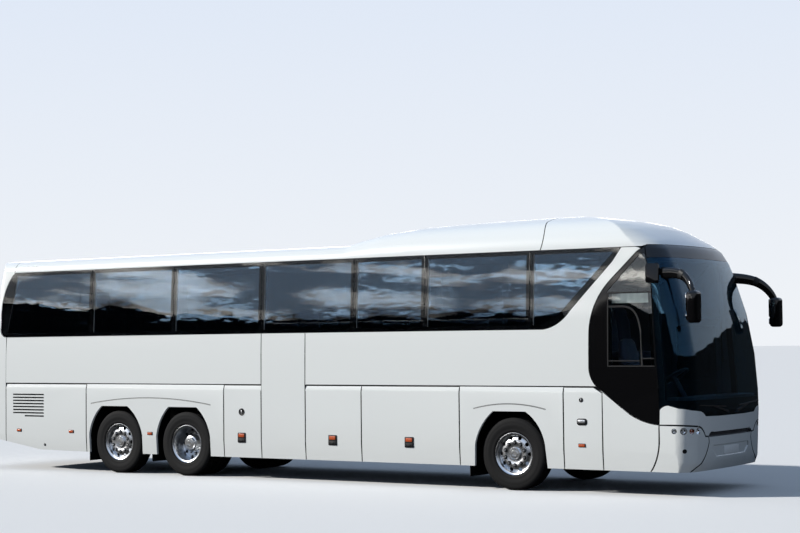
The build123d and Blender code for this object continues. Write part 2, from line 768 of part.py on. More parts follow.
def turned(profile, tube=False, sides=SIDES):
    """A solid of flat faces about the axle: profile rows are offset along it and radius to the flats.
    A tube's profile closes on itself, and any other ends in a flat face at each end."""
    rings = [ring(radius, offset, sides) for offset, radius in profile]
    bands = list(zip(rings, rings[1:]))
    ends = [rings[0], rings[-1]]
    if tube:
        bands.append(ends[::-1])
        ends = []
    outlines = [(a[k - 1], a[k], b[k], b[k - 1]) for a, b in bands for k in range(sides)]
    return Solid(Shell([Face(Wire.make_polygon(points, close=True)) for points in outlines + ends]))


# offset from the tyre's middle plane, radius
TYRE_PROFILE = ((-RIM_HALF, RIM_SEAT), (-RIM_HALF, 306), (-TYRE_WIDTH / 2, 400), (-136, 488),
                (-108, TYRE_RADIUS), (108, TYRE_RADIUS), (136, 488), (TYRE_WIDTH / 2, 400),
                (RIM_HALF, 306), (RIM_HALF, RIM_SEAT))
RIM_PROFILE = ((-RIM_HALF - 8, 302), (-RIM_HALF, 302), (-RIM_HALF, RIM_SEAT), (RIM_HALF, RIM_SEAT),
               (RIM_HALF, 302), (RIM_HALF + 8, 302), (RIM_HALF + 8, RIM_INSIDE), (-RIM_HALF - 8, RIM_INSIDE))


def tyre():
    return turned(TYRE_PROFILE, tube=True)


def rim_barrel():
    return turned(RIM_PROFILE, tube=True)


def hand_holes(disc):
    for k in range(10):
        angle = 2 * pi * (k + 0.5) / 10
        hole = turned(((-300, HAND_HOLE), (300, HAND_HOLE)), sides=8)
        disc -= Pos(HAND_HOLE_CIRCLE * sin(angle), 0, HAND_HOLE_CIRCLE * cos(angle)) * hole
    return disc


def single_wheel():
    """Convex disc near the outer edge, hub behind it and cap in front; offsets grow outwards."""
    disc = hand_holes(turned(((45, RIM_INSIDE), (70, RIM_INSIDE))))
    hub = turned(((-18, 100), (45, 100)))
    cap = turned(((70, 94), (115, 94), (128, 70)))
    wheel = Part() + [rim_barrel(), disc, hub, cap]
    return wheel - rod((0, -100, 0), (0, 45, 0), 45.4)


def twin_wheels():
    """Two rims back to back on one hub, with the outer disc deep inside its rim."""
    outer = Pos(0, TWIN_OUTER, 0) * rim_barrel()
    inner = Pos(0, TWIN_INNER, 0) * rim_barrel()
    disc = Pos(0, TWIN_OUTER - RIM_HALF + 10, 0) * hand_holes(turned(((-10, RIM_INSIDE), (10, RIM_INSIDE))))
    back = Pos(0, TWIN_INNER + RIM_HALF - 10, 0) * turned(((-10, RIM_INSIDE), (10, RIM_INSIDE)))
    middle = (TWIN_OUTER + TWIN_INNER) / 2
    hub = Pos(0, middle, 0) * turned(((-70, 150), (70, 150)))
    nose = Pos(0, TWIN_OUTER - 90, 0) * turned(((-12, 140), (60, 125), (110, 100), (150, 90), (160, 60)))
    wheel = Part() + [outer, inner, disc, back, hub, nose]
    return wheel - rod((0, 500, 0), (0, TWIN_OUTER - 20, 0), 60.4)


def place_wheel(shape, station, track, side):
    """Put a wheel made about the Y axis on its axle; side -1 gives the mirror image."""
    placed = [Pos(station, track, TYRE_RADIUS) * s for s in flat(shape)]
    return placed if side > 0 else [s.mirror(Plane.XZ) for s in placed]


def knuckle():
    """Left steering knuckle: fork over the beam's boss, kingpin, spindle and an arm straight back."""
    axle = TYRE_RADIUS
    fork = [block((-60, 60), (KINGPIN - 55, 1035), (axle + 66, axle + 106)),
            block((-60, 60), (KINGPIN - 55, 1035), (axle - 106, axle - 66)),
            block((-60, 60), (KINGPIN + 68, 1035), (axle - 106, axle + 106)),
            rod((0, 1030, axle), (0, 1105, axle), 45)]
    pin = rod((0, KINGPIN, axle - 106), (0, KINGPIN, axle + 106), 24.7)
    tip = (-STEERING_ARM, KINGPIN)
    bar = ((-40, KINGPIN - 45), (-40, KINGPIN + 25), (tip[0] - 20, tip[1] + 20), (tip[0] - 20, tip[1] - 20))
    arm = prism(bar, "XY", axle - 106, axle - 76)
    stud = rod((*tip, TRACK_ROD_HEIGHT - 18), (*tip, axle - 100), 12)
    return flat(Part() + fork + [pin, arm, stud])


def track_rod():
    """Bar between the two arms, as long as the kingpins are apart, so that the linkage is a parallelogram."""
    bar = rod((-STEERING_ARM, -KINGPIN, TRACK_ROD_HEIGHT), (-STEERING_ARM, KINGPIN, TRACK_ROD_HEIGHT), 16)
    ends = [(-STEERING_ARM, s * KINGPIN) for s in (1, -1)]
    eyes = [rod((*end, TRACK_ROD_HEIGHT - 18), (*end, TRACK_ROD_HEIGHT + 18), 28) for end in ends]
    solid = Part() + [bar, *eyes]
    for end in ends:
        solid -= rod((*end, TRACK_ROD_HEIGHT - 40), (*end, TRACK_ROD_HEIGHT + 40), 12.4)
    return flat(solid)


def front_axle_beam():
    axle = TYRE_RADIUS
    beam = [block((-50, 50), (-KINGPIN + 20, KINGPIN - 20), (axle - 60, axle + 60))]
    beam += [rod((0, s * KINGPIN, axle - 60), (0, s * KINGPIN, axle + 60), 60) for s in (1, -1)]
    beam += both(block((-120, 120), BEAM, (axle + 60, 620)))
    solid = Part() + beam
    for s in (1, -1):
        solid -= rod((0, s * KINGPIN, axle - 100), (0, s * KINGPIN, axle + 100), 25)
    return flat(solid)


def drive_axle():
    axle = TYRE_RADIUS
    at = DRIVE_AXLE
    parts = [rod((at, -585, axle), (at, 585, axle), 90),
             rod((at, -TWIN_OUTER + 30, axle), (at, TWIN_OUTER - 30, axle), 60),
             rod((at, -150, axle), (at, 150, axle), 210),
             rod((at, 0, axle), (at + 380, 0, axle), 110)]
    parts += both(block((at - 150, at + 150), BEAM, (axle, 700)))
    return flat(Part() + parts)


def tag_axle():
    axle = TYRE_RADIUS
    at = TAG_AXLE
    parts = [block((at - 60, at + 60), (-1035, 1035), (axle - 60, axle + 60)),
             rod((at, -1105, axle), (at, 1105, axle), 45)]
    parts += both(block((at - 120, at + 120), BEAM, (axle + 60, 700)))
    return flat(Part() + parts)


# Mirrors
def mirror_arm():
    path = FilletPolyline(*MIRROR_ARM, radius=130)
    start = Plane(origin=path @ 0, z_dir=path % 0)
    return sweep(start * Circle(38), path=path)


def mirrors():
    head = block(*MIRROR_HEAD)
    head = fillet(head.edges().filter_by(Axis.Z), 40)
    mirror = Part() + [flat(head)[0], flat(mirror_arm())[0]]
    return both(mirror - SKIN)


# Cab and cabin
def dashboard():
    desk = LINING & block((2330, 3000), (-1500, 1500), (CAB_FLOOR[1], 1330))
    column = rod((2440, -620, 1250), STEERING_WHEEL, 35)
    rim = [(17 * cos(k * pi / 4), 215 + 17 * sin(k * pi / 4)) for k in range(8)]
    wheel = turned(rim, tube=True, sides=24) + Box(430, 20, 40)
    raked = Pos(*STEERING_WHEEL) * Rot(0, WHEEL_RAKE, 0) * Rot(90, 0, 0)
    return flat(Part() + [*flat(desk), column, *flat(raked * wheel)])


def seat_profile(x, floor, depth, cushion, back_top):
    """Side view of a seat on its plinth: cushion and reclined back."""
    return ((x + 60, floor), (x + depth - 60, floor), (x + depth - 20, floor + cushion - 130),
            (x + depth, floor + cushion), (x + 120, floor + cushion - 20), (x - 30, back_top),
            (x - 130, back_top - 20), (x, floor + cushion - 140))


def driver_seat():
    return flat(prism(seat_profile(DRIVER_SEAT, CAB_FLOOR[1], 450, 510, 2150), "XZ", -870, -370))


def passenger_seats():
    pairs = []
    for row in range(SEAT_ROWS):
        profile = seat_profile(FIRST_SEAT - SEAT_PITCH * row, SEAM, 470, 460, 2600)
        pairs += both(prism(profile, "XZ", *SEAT_PAIR))
    return flat(pairs)


def save(name, shapes):
    solids = [s.moved(Location((ORIGIN_SHIFT, 0, 0))) for s in flat(shapes)]
    export_step(Compound(solids) if len(solids) > 1 else solids[0], os.path.join("parts", name + ".step"))
    print(name, len(solids), round(sum(s.volume for s in solids) / 1e6), "litres", flush=True)


def main():
    os.makedirs("parts", exist_ok=True)
    save("roof", roof())
    save("roof_front_cap", roof_front_cap())
    save("rear_module", rear_module())
    save("rear_window", rear_window())
    save("rear_lamps", rear_lamps())
    save("engine_door", engine_door())
    save("side_panes", [side_panes(side) for side in (1, -1)])
    save("cab_glass", cab_glass())
    save("front_door", front_door())
    save("front_bumper", front_bumper())
    save("head_lamps", head_lamps())
    save("windscreen", windscreen())
    save("wipers", wipers())
    save("header", header())
    save("windscreen_frame", windscreen_frame())
    save("cabin_floor", cabin_floor())
    save("luggage_hold", luggage_hold())
    save("wheel_housings", wheel_housings())
    save("service_lockers", service_lockers())
    save("front_subframe", front_subframe())
    save("rear_subframe", rear_subframe())
    save("engine_block", engine_block())
    save("front_axle_beam", front_axle_beam())
    save("drive_axle", drive_axle())
    save("tag_axle", tag_axle())
    save("track_rod", track_rod())
    save("mirrors", mirrors())
    save("dashboard", dashboard())
    save("driver_seat", driver_seat())
    save("passenger_seats", passenger_seats())
    left_knuckle = knuckle()
    for name, side in (("left", 1), ("right", -1)):
        save("side_wall_" + name, side_wall(side))
        save("cab_side_" + name, cab_side(side))
        save("lower_panels_" + name, lower_panels(side))
        for flap_name, front, rear in FLAPS:
            save(flap_name + "_" + name, flap(front, rear, side))
        save("knuckle_" + name, left_knuckle if side > 0 else [s.mirror(Plane.XZ) for s in left_knuckle])
        for axle, station in (("front", 0), ("tag", TAG_AXLE)):
            save("tyre_" + axle + "_" + name, place_wheel(tyre(), station, SINGLE_TRACK, side))
            save("wheel_" + axle + "_" + name, place_wheel(single_wheel(), station, SINGLE_TRACK, side))
        twin = [place_wheel(tyre(), DRIVE_AXLE, track, side) for track in (TWIN_OUTER, TWIN_INNER)]
        save("tyres_drive_" + name, twin)
        save("wheel_drive_" + name, place_wheel(twin_wheels(), DRIVE_AXLE, 0, side))


main()
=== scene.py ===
import json
from math import atan2, cos, pi, radians, sin

import bmesh
import bpy
from mathutils import Matrix, Vector
from mathutils.bvhtree import BVHTree
from mathutils.geometry import interpolate_bezier


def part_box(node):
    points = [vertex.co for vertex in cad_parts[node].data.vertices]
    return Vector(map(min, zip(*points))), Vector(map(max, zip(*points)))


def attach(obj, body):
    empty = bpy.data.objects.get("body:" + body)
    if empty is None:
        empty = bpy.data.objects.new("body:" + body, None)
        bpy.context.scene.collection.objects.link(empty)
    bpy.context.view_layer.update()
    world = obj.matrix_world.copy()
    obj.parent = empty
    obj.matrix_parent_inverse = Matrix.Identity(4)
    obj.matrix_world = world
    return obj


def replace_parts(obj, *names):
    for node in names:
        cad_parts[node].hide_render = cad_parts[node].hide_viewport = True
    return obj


# Three-axle touring coach in white, seen from its right front. Metres, +X forward, +Y to the coach's left.
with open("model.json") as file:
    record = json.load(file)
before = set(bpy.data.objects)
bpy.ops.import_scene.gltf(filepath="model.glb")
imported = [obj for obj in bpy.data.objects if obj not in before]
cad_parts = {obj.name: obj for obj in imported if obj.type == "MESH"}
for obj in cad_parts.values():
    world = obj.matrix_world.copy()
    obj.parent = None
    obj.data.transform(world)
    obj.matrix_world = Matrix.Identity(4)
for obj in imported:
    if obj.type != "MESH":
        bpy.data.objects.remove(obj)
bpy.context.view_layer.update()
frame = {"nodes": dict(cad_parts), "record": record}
NODES = frame["nodes"]
BODY_OF = {node: body for body, nodes in frame["record"]["behaviour"]["bodies"].items() for node in nodes}
SIDES = (("left", 1), ("right", -1))


def middle(node_name):
    low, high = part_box(node_name)
    return (low + high) / 2


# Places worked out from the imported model
FRONT_AXLE = middle("tyre_front_right").x
DRIVE_AXLE = middle("tyres_drive_right").x
TAG_AXLE = middle("tyre_tag_right").x
AXLE_HEIGHT = middle("tyre_front_right").z
TYRE_RADIUS = AXLE_HEIGHT
TYRE_HALF = (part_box("tyre_front_left")[1].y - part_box("tyre_front_left")[0].y) / 2
SINGLE_TRACK = middle("tyre_front_left").y
TWIN_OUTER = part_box("tyres_drive_left")[1].y - TYRE_HALF
TWIN_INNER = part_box("tyres_drive_left")[0].y + TYRE_HALF


def station(x):
    """A place along the coach, measured forward from the front axle."""
    return FRONT_AXLE + x


# Materials
def node(material, kind, inputs=None, **settings):
    """A new shader node with some of its settings and input values."""
    made = material.node_tree.nodes.new("ShaderNode" + kind)
    for key, value in settings.items():
        setattr(made, key, value)
    for key, value in (inputs or {}).items():
        made.inputs[key].default_value = value
    return made


def link(material, *chain):
    """Joins pairs of (node, output) and (node, input)."""
    for (a, out), (b, into) in zip(chain[::2], chain[1::2]):
        material.node_tree.links.new(a.outputs[out], b.inputs[into])


def noise(material, scale, detail=3.0, stretch=(1, 1, 1)):
    """Noise on the piece's own coordinates."""
    coordinates = node(material, "TexCoord")
    mapping = node(material, "Mapping", {"Scale": stretch})
    texture = node(material, "TexNoise", {"Scale": scale, "Detail": detail})
    link(material, (coordinates, "Object"), (mapping, "Vector"), (mapping, "Vector"), (texture, "Vector"))
    return texture


def by_height(material, low, high, start, end, source="Object"):
    """A value that changes with the height, from one to another between two heights."""
    coordinates = node(material, "TexCoord")
    split = node(material, "SeparateXYZ")
    span = node(material, "MapRange", {"From Min": low, "From Max": high, "To Min": start, "To Max": end})
    link(material, (coordinates, source), (split, "Vector"), (split, "Z"), (span, "Value"))
    return span


def two_colours(material, first=None, second=None):
    """A mix of two colours; socket 0 is the share, 6 and 7 the colours, and output 2 the result."""
    inputs = {socket: (*colour, 1) for socket, colour in ((6, first), (7, second)) if colour}
    return node(material, "Mix", inputs, data_type="RGBA")


def shader_of(material):
    return material.node_tree.nodes["Principled BSDF"]


def rough_skin(material, scale, strength, distance, stretch=(1, 1, 1)):
    """Fine unevenness of the surface."""
    texture = noise(material, scale, stretch=stretch)
    bump = node(material, "Bump", {"Strength": strength, "Distance": distance})
    link(material, (texture, "Fac"), (bump, "Height"), (bump, "Normal"), (shader_of(material), "Normal"))


def worn_roughness(material, scale, low, high):
    """Roughness that varies between two values in patches."""
    texture = noise(material, scale)
    span = node(material, "MapRange", {"To Min": low, "To Max": high})
    link(material, (texture, "Fac"), (span, "Value"), (span, "Result"), (shader_of(material), "Roughness"))


def new_material(name, colour, roughness, metallic=0.0, skin=None, wear=None, **sockets):
    """A Principled material, its even values on the shader's own sockets, with its skin and its wear."""
    material = bpy.data.materials.new(name)
    material.use_nodes = True
    shader = shader_of(material)
    shader.inputs["Base Color"].default_value = (*colour, 1)
    shader.inputs["Roughness"].default_value = roughness
    shader.inputs["Metallic"].default_value = metallic
    for socket, value in sockets.items():
        shader.inputs[socket.replace("_", " ")].default_value = value
    if skin:
        rough_skin(material, *skin)
    if wear:
        worn_roughness(material, *wear)
    return material


def new_glass(name, colour, skin, **sockets):
    """A smooth material that light goes through."""
    return new_material(name, colour, 0.01, skin=skin, Transmission_Weight=1.0, **sockets)


def road_dust(material, colour, dust, top, most, low=0.25):
    """Road dust over a finish, in patches, that thins out from the low height to the top one."""
    height = by_height(material, low, top, most, 0.0)
    patches = noise(material, 2.5, 6.0, (0.35, 1, 1.6))
    amount = node(material, "Math", operation="MULTIPLY")
    mix = two_colours(material, colour, dust)
    link(material, (height, "Result"), (amount, 0), (patches, "Fac"), (amount, 1),
         (amount, "Value"), (mix, 0), (mix, 2), (shader_of(material), "Base Color"))


# Each material's skin is scale, strength and depth, and its wear is scale and the two roughnesses
WHITE = (0.80, 0.83, 0.825)
body_white = new_material("body_white", WHITE, 0.28, skin=(1.1, 0.06, 0.02, (0.5, 1, 1)), Coat_Weight=0.7,
                          Coat_Roughness=0.06)
road_dust(body_white, WHITE, (0.45, 0.42, 0.37), 1.0, 0.22)
gloss_black = new_material("gloss_black", (0.004, 0.004, 0.0045), 0.06, skin=(1.6, 0.05, 0.01), IOR=1.42)
outer_glass = new_glass("outer_glass", (0.80, 0.84, 0.85), (0.8, 0.05, 0.02, (1, 1, 2)), IOR=1.3)
dark_glass = new_glass("dark_glass", (0.08, 0.10, 0.115), (0.9, 0.12, 0.03, (1, 1, 2.5)), IOR=1.85,
                       Specular_Tint=(0.42, 0.66, 1.0, 1))
cab_window = new_glass("cab_window", (0.76, 0.82, 0.81), (1.5, 0.06, 0.02), IOR=1.6)
clear_glass = new_glass("clear_glass", (0.3, 0.48, 0.6), (1.2, 0.05, 0.02), IOR=1.38,
                        Specular_Tint=(0.3, 0.65, 1.0, 1))
lamp_glass = new_glass("lamp_glass", (0.95, 0.95, 0.95), (90, 0.15, 0.0006), IOR=1.5)
trim_black = new_material("trim_black", (0.007, 0.007, 0.0075), 0.5, skin=(900, 0.25, 0.0004),
                          Specular_IOR_Level=0.25)
# Painted shade: black for the gaps between panels, the louvre's slots and the recesses by the glass
painted_shade_black = new_material("painted_shade_black", (0.003, 0.0035, 0.0045), 0.9, skin=(500, 0.2, 0.0004),
                          Specular_IOR_Level=0.05)
RUBBER_BLACK = (0.006, 0.006, 0.0065)
rubber = new_material("rubber", RUBBER_BLACK, 0.75, skin=(220, 0.3, 0.0006), Specular_IOR_Level=0.2)
road_dust(rubber, RUBBER_BLACK, (0.022, 0.021, 0.019), 1.3, 0.3)
steel = new_material("steel", (0.045, 0.045, 0.048), 0.5, 0.2, wear=(9, 0.4, 0.75))
alloy = new_material("alloy", (0.6, 0.61, 0.62), 0.28, 1.0, skin=(60, 0.05, 0.0004), wear=(14, 0.22, 0.38))
inner_trim = new_material("inner_trim", (0.07, 0.07, 0.075), 0.85, skin=(300, 0.4, 0.0008))
# Painted shade in the pressed line over the wheel arches
painted_crease_shade = new_material("painted_crease_shade", (0.34, 0.35, 0.35), 0.4, wear=(12, 0.3, 0.55))
mirror_glass = new_material("mirror_glass", (0.8, 0.83, 0.86), 0.02, 1.0, wear=(8, 0.01, 0.05))
satin_metal = new_material("satin_metal", (0.62, 0.63, 0.64), 0.3, 1.0, wear=(40, 0.22, 0.42))
chrome = new_material("chrome", (0.86, 0.87, 0.88), 0.05, 1.0, wear=(30, 0.03, 0.1))
lamp_amber = new_material("lamp_amber", (0.56, 0.105, 0.033), 0.15, skin=(110, 0.3, 0.0008), Coat_Weight=1.0)
lamp_red = new_material("lamp_red", (0.42, 0.012, 0.012), 0.12, skin=(110, 0.3, 0.0008), Coat_Weight=1.0)
cloth = new_material("cloth", (0.035, 0.045, 0.08), 0.92, skin=(420, 0.6, 0.001), Sheen_Weight=0.3)
board = new_material("board", (0.06, 0.055, 0.05), 0.7, wear=(6, 0.5, 0.85))
lining = new_material("lining", (0.42, 0.43, 0.44), 0.45, 0.6, wear=(7, 0.35, 0.6))
dash_grey = new_material("dash_grey", (0.05, 0.05, 0.053), 0.6, skin=(700, 0.4, 0.0005))
plate_white = new_material("plate_white", (0.93, 0.94, 0.93), 0.35, skin=(260, 0.15, 0.0003), Coat_Weight=0.4)
blind_cloth = new_material("blind_cloth", (0.85, 0.86, 0.83), 0.85, skin=(300, 0.3, 0.0008))

# Finish of the CAD nodes by the start of their names, the first that fits; the others are steel
FINISHES = (
    (rubber, ("tyre",)), (trim_black, ("wheel_housings", "windscreen_frame", "mirrors", "wipers")),
    (alloy, ("wheel_",)), (clear_glass, ("windscreen",)), (outer_glass, ("side_panes",)),
    (body_white, ("flap_", "side_wall", "lower_panels", "roof", "rear_module", "engine_door",
                  "front_bumper")),
    (gloss_black, ("cab_side", "front_door", "header")), (dark_glass, ("cab_glass", "rear_window")),
    (lamp_red, ("rear_lamps",)), (chrome, ("head_lamps",)), (cloth, ("passenger_seats", "driver_seat")),
    (dash_grey, ("dashboard",)), (board, ("cabin_floor",)), (lining, ("luggage_hold", "service_lockers")),
)
for name, obj in NODES.items():
    finish = next((m for m, starts in FINISHES if name.startswith(starts)), steel)
    obj.data.materials.clear()
    obj.data.materials.append(finish)


# Making pieces
def mesh_from(name, bm):
    """A mesh made of a bmesh, which is given up."""
    mesh = bpy.data.meshes.new(name)
    bm.to_mesh(mesh)
    bm.free()
    return mesh


def in_scene(name, data):
    """A new object in the scene."""
    made = bpy.data.objects.new(name, data)
    bpy.context.scene.collection.objects.link(made)
    return made


def finished(name, bm, materials, body="root", smooth=35):
    """Turns a bmesh into a piece that rides on a body."""
    mesh = mesh_from(name, bm)
    for material in materials if isinstance(materials, (list, tuple)) else (materials,):
        mesh.materials.append(material)
    mesh.shade_smooth()
    mesh.set_sharp_from_angle(angle=radians(smooth))
    piece = in_scene(name, mesh)
    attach(piece, body)
    return piece


# Finding the outside of the coach, so that every seam and fitting sits on it
def tree_of(name):
    mesh = NODES[name].data
    return BVHTree.FromPolygons([v.co for v in mesh.vertices], [p.vertices for p in mesh.polygons])


SHELLS = [
    "roof", "roof_front_cap", "rear_module", "front_bumper", "header", "windscreen", "windscreen_frame",
    "cab_glass", "side_panes", "rear_window", "engine_door", "front_door",
]
for side_name, _ in SIDES:
    SHELLS += [start + side_name for start in (
        "side_wall_", "cab_side_", "lower_panels_", "flap_front_service_", "flap_hold_front_",
        "flap_hold_rear_", "flap_rear_service_", "flap_engine_side_")]
SEARCH_TREES = {name: (tree_of(name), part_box(name)) for name in [*SHELLS, "head_lamps", "rear_lamps"]}


def outside(origin, way, reach=6.0):
    """The first node met by a line from outside, with the place and the way that the surface looks."""
    origin, way = Vector(origin), Vector(way).normalized()
    end = origin + way * reach
    first = None
    for name, (tree, (low, high)) in SEARCH_TREES.items():
        if any(max(a, b) < l or min(a, b) > h for a, b, l, h in zip(origin, end, low, high)):
            continue
        place, normal, _, distance = tree.ray_cast(origin, way, reach)
        if place is not None and (first is None or distance < first[0]):
            first = (distance, name, place, normal if normal.dot(way) < 0 else -normal)
    return first[1:] if first else None


# Ends of the coach's middle line and height of its cant rail, which tell the way outwards
LINE_REAR, LINE_FRONT, CANT_RAIL = station(-9.6), station(1.6), 3.0
# Least share of a normal that points outwards, on a face of the outside
OUTWARD = 0.3
# How far outside a line towards the skin starts, and how near to a face it has to end
LOOK_FROM, SKIN_DEPTH = 0.2, 0.004
# Side wall: half width at the belt, its narrowing; foot, top and depth of the pocket behind the panes
BELT_HALF, WALL_LEAN = 1.265, 0.0539
POCKET_FOOT, POCKET_TOP, POCKET_DEPTH = 2.281, 3.4, 0.004
# Pressed line over the wheel arches, whose groove is painted grey as shade: its heights, and the panel seams
# that cross it
CREASE_FOOT, CREASE_TOP = 1.12, 1.26
ARCH_SEAMS, SEAM_ZONE = (0.848, -0.851, -5.229, -8.199), 0.03
# Where the next panel is looked for past an edge, from how far, and how much its height may differ
NEXT_PANEL, EDGE_LOOK, EDGE_REACH, EDGE_STEP = 0.016, 0.1, 0.13, 0.005


def away_from_middle(centre):
    """The way outwards from the coach's middle line, level below the cant rail."""
    x = max(min(centre.x, LINE_FRONT), LINE_REAR)
    return (centre - Vector((x, 0, min(centre.z, CANT_RAIL)))).normalized()


def in_window_pocket(name, centre):
    """Whether a place lies in the side wall's recess behind the panes."""
    half = BELT_HALF - WALL_LEAN * (centre.z - POCKET_FOOT)
    inside = POCKET_FOOT < centre.z < POCKET_TOP and abs(centre.y) < half - POCKET_DEPTH
    return name.startswith("side_wall") and inside


def met_first(face):
    """What a line from outside meets first on its way to the middle of a face."""
    return outside(face.calc_center_median() + face.normal * LOOK_FROM, -face.normal, 2 * LOOK_FROM)


def skin_faces(name, bm):
    """The faces of a shell that are its painted outside."""
    found = []
    for face in bm.faces:
        centre = face.calc_center_median()
        if face.normal.dot(away_from_middle(centre)) > OUTWARD and not in_window_pocket(name, centre):
            hit = met_first(face)
            if hit and (hit[1] - centre).length < SKIN_DEPTH:
                found.append(face)
    return found


def on_crease(name, centre):
    """Whether a place lies on the pressed line over a wheel arch."""
    near_seam = any(abs(centre.x - station(x)) < SEAM_ZONE for x in ARCH_SEAMS)
    return name.startswith("lower_panels") and CREASE_FOOT < centre.z < CREASE_TOP and not near_seam


# What a shell's material indices stand for, after its own finish: painted shade in gaps, slots and recesses,
# the dark lining, and painted shade in the arch creases
SHADE_AND_LINING = (painted_shade_black, inner_trim, painted_crease_shade)
SEAM_SHADE, LINING, CREASE_SHADE = 1, 2, 3
GLASS_NODES = ("windscreen", "cab_glass", "side_panes", "rear_window")


def paint_seam_shade(name, bm, width):
    """Painted shade: a narrow black strip along each edge that meets another panel, black edges in the gap
    and grey in the arch creases; dark lining inside.
    """
    skin = set(skin_faces(name, bm))
    for face in bm.faces:
        if face in skin:
            continue
        facing = face.normal.dot(away_from_middle(face.calc_center_median()))
        if facing < -OUTWARD:
            face.material_index = LINING
        elif facing > OUTWARD:
            hit = met_first(face)
            # Painted shade in the recess behind the panes and in the gaps beside the glass
            if name.startswith("side_wall") or hit and hit[0] in GLASS_NODES:
                face.material_index = SEAM_SHADE
    ring = set(bmesh.ops.inset_region(bm, faces=list(skin), thickness=width, use_boundary=True,
                                      use_even_offset=False)["faces"])
    bm.normal_update()
    for face in ring:
        for edge in face.edges:
            rims = [f for f in edge.link_faces if f not in skin and f not in ring]
            if not rims:
                continue
            middle_of = (edge.verts[0].co + edge.verts[1].co) / 2
            along = (edge.verts[1].co - edge.verts[0].co).normalized()
            over = along.cross(face.normal)
            if over.dot(middle_of - face.calc_center_median()) < 0:
                over = -over
            beyond = middle_of + over * NEXT_PANEL
            hit = outside(beyond + face.normal * EDGE_LOOK, -face.normal, EDGE_REACH)
            if hit and abs((hit[1] - beyond).dot(face.normal)) < EDGE_STEP:
                # Painted shade in the gap and on the strip beside it, grey where the edge lies on an arch
                # crease
                gap_shade = CREASE_SHADE if on_crease(name, middle_of) else SEAM_SHADE
                for painted in (face, *rims):
                    painted.material_index = gap_shade


def thinner(bm, by=0.005, inward=-0.5):
    """Draws the back of a pane forward, so that it stands clear of the frame behind it."""
    moves = {}
    for face in bm.faces:
        if face.normal.dot(away_from_middle(face.calc_center_median())) < inward:
            for vert in face.verts:
                moves.setdefault(vert, []).append(face.normal)
    for vert, normals in moves.items():
        vert.co -= sum(normals, Vector()).normalized() * by


def merged(name):
    """A node's own faces, their doubled points merged."""
    bm = bmesh.new()
    bm.from_mesh(NODES[name].data)
    bmesh.ops.remove_doubles(bm, verts=bm.verts, dist=2e-5)
    bm.normal_update()
    return bm


def dressed(name, smooth=24, seam=None, shape=None):
    """A merged copy of a CAD node, shaded smoothly over its curves, that stands for the node."""
    bm = merged(name)
    if seam:
        paint_seam_shade(name, bm, seam)
    if shape:
        shape(bm)
    own_colours = shape in (lamp_colours, cab_panes)
    materials = [*NODES[name].data.materials, *(() if own_colours else SHADE_AND_LINING)]
    piece = finished(name + "_shell", bm, materials, BODY_OF[name], smooth)
    even = piece.modifiers.new("even", "WEIGHTED_NORMAL")
    even.keep_sharp = True
    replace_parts(piece, name)


def lamp_colours(bm):
    """Amber above, red in the middle, clear white at the bottom of each stack."""
    red, amber, clear = range(3)
    low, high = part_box("rear_lamps")
    for face in bm.faces:
        level = (face.calc_center_median().z - low.z) / (high.z - low.z)
        face.material_index = amber if level > 0.66 else clear if level < 0.33 else red


def cab_panes(bm):
    """The driver's window is clearer than the glass on the door side."""
    thinner(bm)
    for face in bm.faces:
        face.material_index = 1 if face.calc_center_median().y < 0 else 0


# Louvre in the engine's side flap: its stations, its heights, and the half width that its slots lie within
LOUVRE_REAR, LOUVRE_FRONT = station(-9.94), station(-9.17)
LOUVRE_FOOT, LOUVRE_TOP, LOUVRE_HALF = 0.87, 1.32, 1.2745


def louvre_slot_shade(bm):
    """The slots of the engine's louvre get painted black shade inside."""
    for face in bm.faces:
        centre = face.calc_center_median()
        inside = LOUVRE_REAR < centre.x < LOUVRE_FRONT and LOUVRE_FOOT < centre.z < LOUVRE_TOP
        if inside and abs(centre.y) < LOUVRE_HALF:
            face.material_index = SEAM_SHADE


def set_back(bm, by=0.004):
    """Moves the windscreen's frame a little behind the glass."""
    bmesh.ops.translate(bm, vec=(-by, 0, 0), verts=bm.verts)


# Widths of the strip of painted seam shade along each panel edge
WIDE_SEAM, FINE_SEAM = 0.007, 0.003
NODES["cab_glass"].data.materials.append(cab_window)
for name in SHELLS:
    if name == "cab_glass":
        dressed(name, shape=cab_panes)
    elif name in GLASS_NODES:
        dressed(name, shape=thinner)
    elif name == "windscreen_frame":
        dressed(name, shape=set_back)
    elif name.startswith("flap_engine_side"):
        dressed(name, seam=WIDE_SEAM, shape=louvre_slot_shade)
    elif name in ("roof", "roof_front_cap", "rear_module", "header"):
        dressed(name, seam=FINE_SEAM)
    else:
        dressed(name, seam=WIDE_SEAM)
dressed("dashboard", smooth=30)
dressed("wipers", smooth=30)
for extra in (lamp_amber, plate_white):
    NODES["rear_lamps"].data.materials.append(extra)
dressed("rear_lamps", shape=lamp_colours)

# The dark inner panes of the double glazing
PANE_GAP = 0.02
inner = merged("side_panes")
for vert in inner.verts:
    vert.co.y -= PANE_GAP if vert.co.y > 0 else -PANE_GAP
finished("inner_panes", inner, dark_glass, "root", 24)


def on_side(x, z, side):
    """The place on the coach's side at a station and a height."""
    return outside((station(x), side * 3, z), (0, -side, 0))


def seated(bm, place, normal):
    """Moves a shape made facing +Z so that it sits at a place and looks along a normal."""
    across = Vector((0, 0, 1)).cross(normal).normalized()
    upward = normal.cross(across)
    turn = Matrix((across, upward, normal)).transposed().to_4x4()
    bmesh.ops.transform(bm, matrix=Matrix.Translation(place) @ turn, verts=bm.verts)


def block(centre, size):
    """The matrix that makes a cube of size 1 into a block."""
    return Matrix.Translation(centre) @ Matrix.Diagonal((*size, 1))


